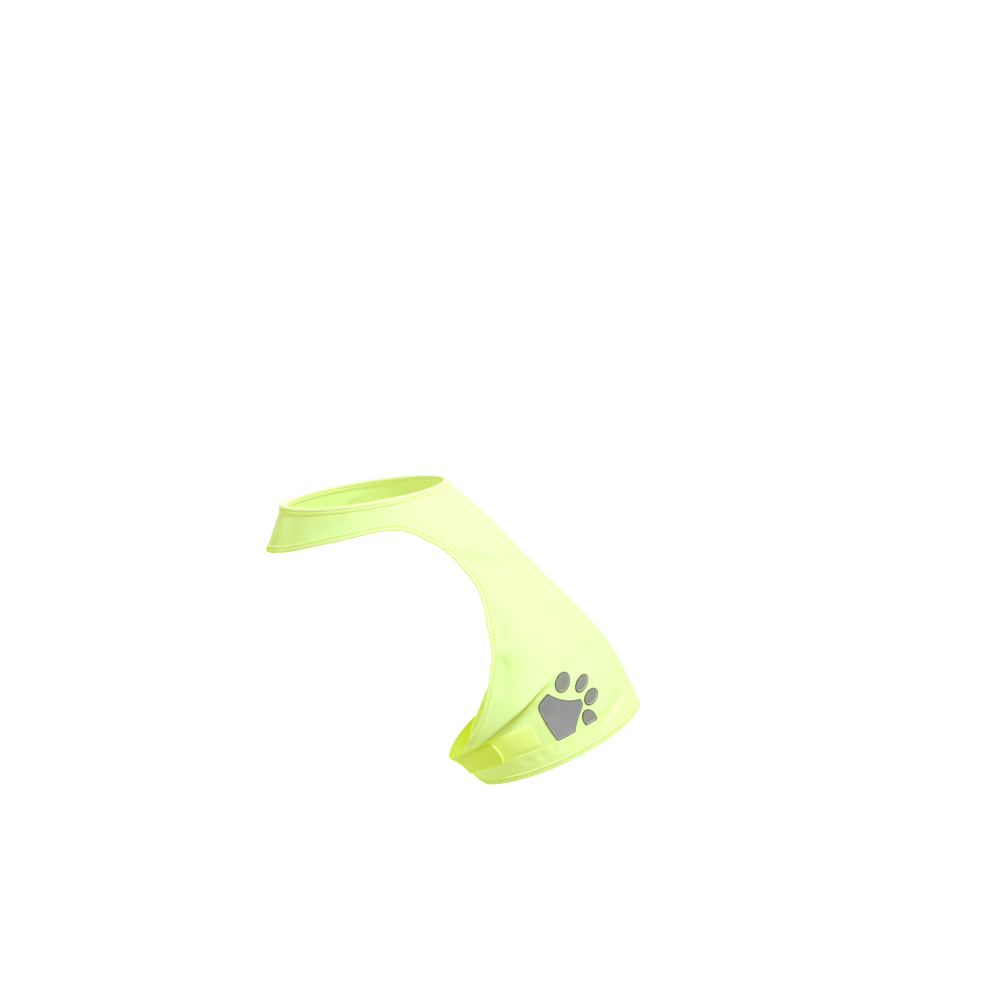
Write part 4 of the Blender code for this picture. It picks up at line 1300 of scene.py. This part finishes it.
def strap_seam(start, end):
    """A straight seam on the strap, between two places given from its end and across."""
    part = np.linspace(0, 1, 24)[:, None]
    wanted = np.array(start) + (np.array(end) - np.array(start)) * part
    top = strap_sheet.points + strap_sheet.normals * strap_top[:, None]
    near = [np.argsort(np.linalg.norm(strap_sheet.flat - place, axis=1))[:4] for place in wanted]
    points, normals = [], []
    for place, corners in zip(wanted, near):
        weights = 1 / (np.linalg.norm(strap_sheet.flat[corners] - place, axis=1) + 0.05)
        weights /= weights.sum()
        points.append(weights @ top[corners])
        normals.append(weights @ strap_sheet.normals[corners])
    return smoothed(np.array(points), 3), unit(np.array(normals))


side_in = STRAP_WIDTH / 2 - CUFF_SEAM_IN
sew("stitches_of_the_strap_end",
    [strap_seam((CUFF[0], -side_in), (CUFF[0], side_in)),
     strap_seam((CUFF[0], -side_in), (CUFF[1], -side_in)),
     strap_seam((CUFF[0], side_in), (CUFF[1], side_in))])

# %% [markdown]
# ## The loop patch
#
# Loop tape is a knitted ground with a fine raised pile.  It is laid flat on the flank below
# the tuck and sewn down all round, so its woven edge is pressed low and its middle stands
# up.  The mesh gives that edge and middle.  The pile's loops are far under a millimetre, so
# they are left to the finish.

# %% Loop patch
PATCH_ALONG = 265.5
PATCH_SPAN = (86, 130)     # degrees around
PATCH_EDGE = 1.3           # the woven edge without pile
EDGE_LOW = 0.5             # of the tape's height, at its edge
EDGE_ROUND = 2.6           # in from the edge, where it has its full height
TAPE_LOOP = 1.0


def patch_line(around):
    """The patch lies straight across the flank, on the cloth itself."""
    return np.full_like(around, PATCH_ALONG), np.zeros_like(around)


patch_sheet = ribbon(np.linspace(*PATCH_SPAN, 61), patch_line, PATCH_WIDTH, 20)
patch_sheet.points, patch_sheet.normals = settle(patch_sheet.points)
patch_run, patch_across = patch_sheet.flat.T
from_rim = np.minimum.reduce([patch_run, patch_run.max() - patch_run,
                              PATCH_WIDTH / 2 - np.abs(patch_across)])
raised = EDGE_LOW + (1 - EDGE_LOW) * smooth_step(0, EDGE_ROUND, from_rim)
patch_shape = wall(patch_sheet, LEG, LEG + TAPE_LOOP * raised)
# the patch takes the painted shade of the tuck above it
add_piece("loop_patch_pile", patch_shape, [LOOP_PILE, LOOP_EDGE],
          ["strap_loop_patch"],
          faces_of=faces_below(patch_shape, np.tile(from_rim, 2), PATCH_EDGE),
          painted_shade_share=np.tile(painted_shade_near(patch_sheet.points), 2))

# %% [markdown]
# ## The throat closure
#
# The arms close at the throat, the left one over the right.  Loop tape is sewn on the right
# arm's end and hook tape under the left arm's end, both cut from the arms' own sheet.

# %% Throat closure
ARM_COLUMNS = (24, 60)     # of the arm's columns, those that the tapes cover


def on_arm(side):
    """The part of an arm's end that a tape covers."""
    return SHEET.part((CELL_SIDE == side) & (CELL_ROW < 1) & (CELL_COLUMN >= ARM_COLUMNS[0])
                      & (CELL_COLUMN < ARM_COLUMNS[1]))


add_piece("throat_loop_tape_pile", wall(on_arm(-1), LEG, LEG + TAPE_LOOP), [LOOP_PILE],
          ["throat_loop_tape"])
add_piece("throat_hook_tape_hooks", wall(on_arm(1), -LEG - TAPE_HOOK, -LEG), [HOOK_TAPE],
          ["throat_hook_tape"])

# %% [markdown]
# ## The paw
#
# Each flank carries a paw of reflective tape: an ordinary pad and four toes, drawn here from
# arcs and ovals.  The tape is cut with a hot die, which leaves a darker, raised rim round
# every piece.  Each piece is a stack of rings: the first few shape the rim, the rest close
# the field, and all of them are dropped onto the creased cloth.  Where a piece would reach
# the hem band it is trimmed along the band's edge.

# %% Outlines of the paw
PAD_TURN = 10.0            # degrees, of the pad beside its toes
PAD_CORNERS = (            # x, y, and the rise of the arc to the next corner
    (-2.4, 26.0, 2.0),
    (7.2, 20.6, -1.8),
    (28.2, -0.6, 2.2),
    (25.5, -14.5, 1.6),
    (-17.2, -15.2, 0.5),
    (-22.6, -11.4, 0.3),
    (-26.0, 0.8, -3.6),
)
TOES = (                   # name, x, y, length, width, lean in degrees
    ("toe_outer_left", -22.6, 23.8, 21.0, 15.2, -27),
    ("toe_inner_left", -7.2, 37.5, 20.0, 12.0, -13),
    ("toe_inner_right", 9.2, 35.6, 19.0, 13.2, -6),
    ("toe_outer_right", 23.0, 19.7, 19.5, 14.8, -80),
)
ARC_STEPS = 12
TOE_STEPS = 44
RING_SPACING = 0.8         # between points of an outline once it is evened


def arc_between(start, end, rise):
    """Points from start to end on a shallow arc that rises to the left of the way."""
    start, end = np.array(start, float), np.array(end, float)
    part = np.linspace(0, 1, ARC_STEPS + 1)[:, None]
    run = end - start
    left = np.array([-run[1], run[0]]) / np.hypot(*run)
    return start + run * part + left * rise * 4 * part * (1 - part)


def turned(points, degrees):
    """Points turned clockwise about the middle."""
    cos, sin = math.cos(math.radians(degrees)), math.sin(math.radians(degrees))
    return np.stack([points[:, 0] * cos + points[:, 1] * sin,
                     points[:, 1] * cos - points[:, 0] * sin], -1)


def pad_outline():
    """The pad: shallow arcs from corner to corner, hollow beside the toes."""
    sides = []
    for (x, y, rise), (end_x, end_y, _) in zip(PAD_CORNERS, PAD_CORNERS[1:] + PAD_CORNERS[:1]):
        sides.append(arc_between((x, y), (end_x, end_y), rise)[:-1])
    return turned(np.concatenate(sides), PAD_TURN)


def toe_outline(x, y, length, width, lean):
    """A toe: an oval that leans by some degrees from upright."""
    turn = np.linspace(0, 2 * math.pi, TOE_STEPS, endpoint=False)
    a, b = width / 2 * np.cos(turn), length / 2 * np.sin(turn)
    angle = math.radians(lean)
    return np.stack([x + a * math.cos(angle) + b * math.sin(angle),
                     y - a * math.sin(angle) + b * math.cos(angle)], -1)


def even_ring(outline):
    """A closed outline with points at even steps, its sharp corners a little eased."""
    closed = np.concatenate([outline, outline[:1]])
    ring = resample(closed, closed, RING_SPACING)[:-1]
    for _ in range(2):
        ring = (np.roll(ring, 1, axis=0) + 2 * ring + np.roll(ring, -1, axis=0)) / 4
    return ring


print("pad corners:", len(PAD_CORNERS), "toes:", len(TOES))

# %% Helpers that lay tape on a flank
PAW_AT = (259.5, 68.0)     # along, around
PAW_TURN = 86.0            # degrees, from toes towards the neck to toes towards the spine
DROP_FROM = 30             # above the flank, from where an outline is dropped onto it


def paw_frame(side):
    """Middle of the paw's pad with its across, up and out directions."""
    along, around = PAW_AT
    around = side * around
    place, out = skin(along, around), outwards(along, around)
    to_neck = -(tube(along + 1, around) - tube(along - 1, around))
    to_neck = unit(to_neck - out * (to_neck @ out))
    turn = math.radians(-PAW_TURN * side)
    up = to_neck * math.cos(turn) + np.cross(out, to_neck) * math.sin(turn)
    return place, np.cross(up, out) * side, up, out


def drop_onto_panel(points, out):
    """Points dropped along a direction onto the panel, and the panel's normals there."""
    places, normals = np.zeros_like(points), np.zeros_like(points)
    for k, point in enumerate(points):
        place, _, cell, _ = PANEL_TREE.ray_cast(Vector(point + out * DROP_FROM), Vector(-out),
                                                2 * DROP_FROM)
        if place is None:
            place, _, cell, _ = PANEL_TREE.find_nearest(Vector(point))
        places[k] = place
        normals[k] = soft_normal(places[k], cell)
    return places, normals


def trimmed(outline, side):
    """An outline trimmed along the edge of the hem band."""
    place, across, up, _ = paw_frame(side)
    around = np.arange(20.0, 111.0) * side
    line = skin(band_line(around), around) - place
    below = skin(band_line(around) + 1, around) - place - line
    line = np.stack([line @ across, line @ up], -1)
    below = unit(np.stack([below @ across, below @ up], -1))
    kept = outline.copy()
    for k, point in enumerate(outline):
        nearest = np.argmin(np.linalg.norm(line - point, axis=1))
        past = (point - line[nearest]) @ below[nearest]
        if past > 0:
            kept[k] = point - below[nearest] * past
    return kept


# %% Helper that makes a piece of tape
REFLECTIVE = 0.7           # the tape's height
RIM_RINGS = ((0.0, 0.15), (0.15, 0.80), (0.50, 1.20), (1.15, 1.25), (1.50, 1.00), (1.75, 0.60),
             (2.10, 0.55))         # in from the outline, and height as a share of the tape's
RIM_FINISH = (1, 1, 1, 2, 2, 0)    # of the strips between them: dark rim, painted highlight on the step, field
FIELD_RINGS = (0.82, 0.62, 0.42, 0.22)


def tape_piece(name, outline, side, replaced, field):
    """One piece of reflective tape with a pressed rim, lying on a flank."""
    place, across, up, out = paw_frame(side)
    ring = even_ring(trimmed(outline, side))
    tangent = unit(np.roll(ring, -1, axis=0) - np.roll(ring, 1, axis=0))
    inwards = np.stack([tangent[:, 1], -tangent[:, 0]], -1)
    if ((ring - ring.mean(axis=0)) * inwards).sum() > 0:
        inwards = -inwards
    rings = [ring + inwards * reach for reach, _ in RIM_RINGS]
    middle = ring.mean(axis=0)
    rings += [middle + (rings[-1] - middle) * share for share in FIELD_RINGS]
    heights = [high for _, high in RIM_RINGS] + [RIM_RINGS[-1][1]] * len(FIELD_RINGS)
    plan = np.concatenate(rings + [middle[None]])
    high = np.concatenate([np.full(len(ring), h) for h in heights] + [[heights[-1]]])
    world = place + across * plan[:, :1] + up * plan[:, 1:]
    ground, normals = drop_onto_panel(world, out)
    count, size = len(plan), len(ring)
    top = ground + normals * (LEG + high * REFLECTIVE)[:, None]
    bottom = ground + normals * LEG
    faces, finish = [], []
    for k in range(len(rings) - 1):
        for m in range(size):
            n = (m + 1) % size
            cell = (k * size + m, k * size + n, (k + 1) * size + n, (k + 1) * size + m)
            faces += [cell, tuple(c + count for c in reversed(cell))]
            finish += [RIM_FINISH[k] if k < len(RIM_FINISH) else 0, 1]
    last = (len(rings) - 1) * size
    for m in range(size):
        n = (m + 1) % size
        cell = (last + m, last + n, count - 1)
        faces += [cell, tuple(c + count for c in reversed(cell))]
        faces.append((m, m + count, n + count, n))
        finish += [0, 1, 1]
    points = np.concatenate([top, bottom])
    corners = points[list(faces[0])]
    facing = np.cross(corners[2] - corners[0], corners[3] - corners[1])
    if facing @ normals[0] < 0:
        faces = [tuple(reversed(face)) for face in faces]
    # the step inside the rim carries the painted highlight
    add_piece(name, (points, faces, np.concatenate([plan, plan])),
              [field, REFLECTOR_RIM, REFLECTOR_PAINTED_HIGHLIGHT], [replaced],
              faces_of=finish, crisp=60)


# %% Pad and toes on both flanks
for side, flank in ((1, "left"), (-1, "right")):
    tape_piece("paw_pad_tape_" + flank, pad_outline(), side, "paw_pad_" + flank, REFLECTOR)
    for toe, *sizes in TOES:
        tape_piece("paw_" + toe + "_tape_" + flank, toe_outline(*sizes), side,
                   "paw_" + toe + "_" + flank, REFLECTOR_TOE)

# %% [markdown]
# ## Floor, light and camera
#
# White paper curves up well clear of the vest, which hangs as it would on its wearer.  The
# light is high-key.  The paper is lit on its own, and it is hidden from the rays that
# carry light into folds, because it would fill them and flatten the cloth.  A weak even
# surround, a fairly small key from above on the near side, and a broad lamp behind then
# let the cloth pale towards the back and deepen in the tuck, where painted shade darkens it too.

# %% White paper
FLOOR_Z = -0.40
PAPER_TONE = 0.93
PAPER_MOTTLE = 0.985       # of its tone, in its darker patches
PAPER_LIGHT = 0.75
PAPER_HALF_WIDTH = 6.0
PAPER_FRONT, PAPER_BACK, PAPER_TOP = -4.0, 2.4, 5.0


def paper_finish():
    """Matt white paper, faintly mottled, with a light of its own."""
    made = bpy.data.materials.new("studio paper")
    made.use_nodes = True
    tree = made.node_tree
    shader = tree.nodes["Principled BSDF"]
    shader.inputs["Roughness"].default_value = 0.9
    place = tree.nodes.new("ShaderNodeNewGeometry")
    mottle = noise_node(tree, scaled(tree, place.outputs["Position"], 0.4))
    tree.links.new(mix_colours(tree, mottle, (PAPER_TONE,) * 3, (PAPER_TONE * PAPER_MOTTLE,) * 3),
                   shader.inputs["Base Color"])
    shader.inputs["Emission Color"].default_value = (1, 1, 1, 1)
    shader.inputs["Emission Strength"].default_value = PAPER_LIGHT
    return made


def add_paper():
    """A floor that curves up, on a radius of a metre, into a wall behind the vest."""
    profile = [(PAPER_FRONT, 0.0), (PAPER_BACK, 0.0)]
    profile += [(PAPER_BACK + math.sin(turn), 1.0 - math.cos(turn))
                for turn in np.radians(np.arange(10, 91, 10))]
    profile.append((PAPER_BACK + 1.0, PAPER_TOP))
    points = [(x, y, FLOOR_Z + z) for y, z in profile
              for x in (-PAPER_HALF_WIDTH, PAPER_HALF_WIDTH)]
    faces = [(2 * k, 2 * k + 1, 2 * k + 3, 2 * k + 2) for k in range(len(profile) - 1)]
    mesh = bpy.data.meshes.new("floor and wall")
    mesh.from_pydata(points, [], faces)
    mesh.shade_smooth()
    mesh.materials.append(paper_finish())
    floor = bpy.data.objects.new("floor and wall", mesh)
    floor.visible_diffuse = False
    bpy.context.scene.collection.objects.link(floor)


add_paper()
print("paper at", FLOOR_Z)

# %% Lamps and surround
WORLD_LIGHT = 0.32
WORLD_SEEN = 0.7           # added where the camera sees it, so that it is white too


def add_light(name, place, aim, size, power):
    """A round lamp of a size in metres and a power in watts, turned to an aim."""
    lamp = bpy.data.lights.new(name, "AREA")
    lamp.shape = "DISK"
    lamp.size = size
    lamp.energy = power
    holder = bpy.data.objects.new(name, lamp)
    holder.location = place
    holder.rotation_euler = (Vector(aim) - Vector(place)).to_track_quat("-Z", "Y").to_euler()
    bpy.context.scene.collection.objects.link(holder)


add_light("key", (0.95, -1.0, 1.75), (0.05, 0.0, -0.2), 0.5, 62)
add_light("back", (-0.7, 1.9, 1.3), (0.0, 0.0, -0.15), 1.2, 34)

world = bpy.data.worlds.new("studio")
world.use_nodes = True
surround = world.node_tree.nodes["Background"]
surround.inputs["Color"].default_value = (1, 1, 1, 1)
seen = world.node_tree.nodes.new("ShaderNodeLightPath").outputs["Is Camera Ray"]
world.node_tree.links.new(
    math_node(world.node_tree, "MULTIPLY_ADD", seen, WORLD_SEEN, WORLD_LIGHT),
    surround.inputs["Strength"])
bpy.context.scene.world = world
bpy.context.scene.view_settings.view_transform = "Standard"
print("lamps:", len(bpy.data.lights))

# %% Camera
CAMERA_AZIMUTH = 5.0
CAMERA_ELEVATION = 12.0
CAMERA_DISTANCE = 2.7778
CAMERA_LENS = 100.0
CAMERA_CENTRE = (1.22, 0.0, 1.59)  # near the vest's origin
CAMERA_TARGET = (43.0, -11.0)      # right and up of that, as the camera sees it

azimuth, elevation = math.radians(CAMERA_AZIMUTH), math.radians(CAMERA_ELEVATION)
right = Vector((math.cos(azimuth), math.sin(azimuth), 0))
above = Vector((-math.sin(azimuth) * math.sin(elevation),
                math.cos(azimuth) * math.sin(elevation), math.cos(elevation)))
back = Vector((math.sin(azimuth) * math.cos(elevation),
               -math.cos(azimuth) * math.cos(elevation), math.sin(elevation)))
aim = (right * CAMERA_TARGET[0] + above * CAMERA_TARGET[1] + Vector(CAMERA_CENTRE)) * MM
lens = bpy.data.cameras.new("camera")
lens.lens = CAMERA_LENS
lens.sensor_width = 36.0
lens.clip_end = 50.0
camera = bpy.data.objects.new("camera", lens)
camera.location = aim + back * CAMERA_DISTANCE
camera.rotation_euler = back.to_track_quat("Z", "Y").to_euler()
bpy.context.scene.collection.objects.link(camera)
bpy.context.scene.camera = camera
print("camera at", [round(part, 3) for part in camera.location])
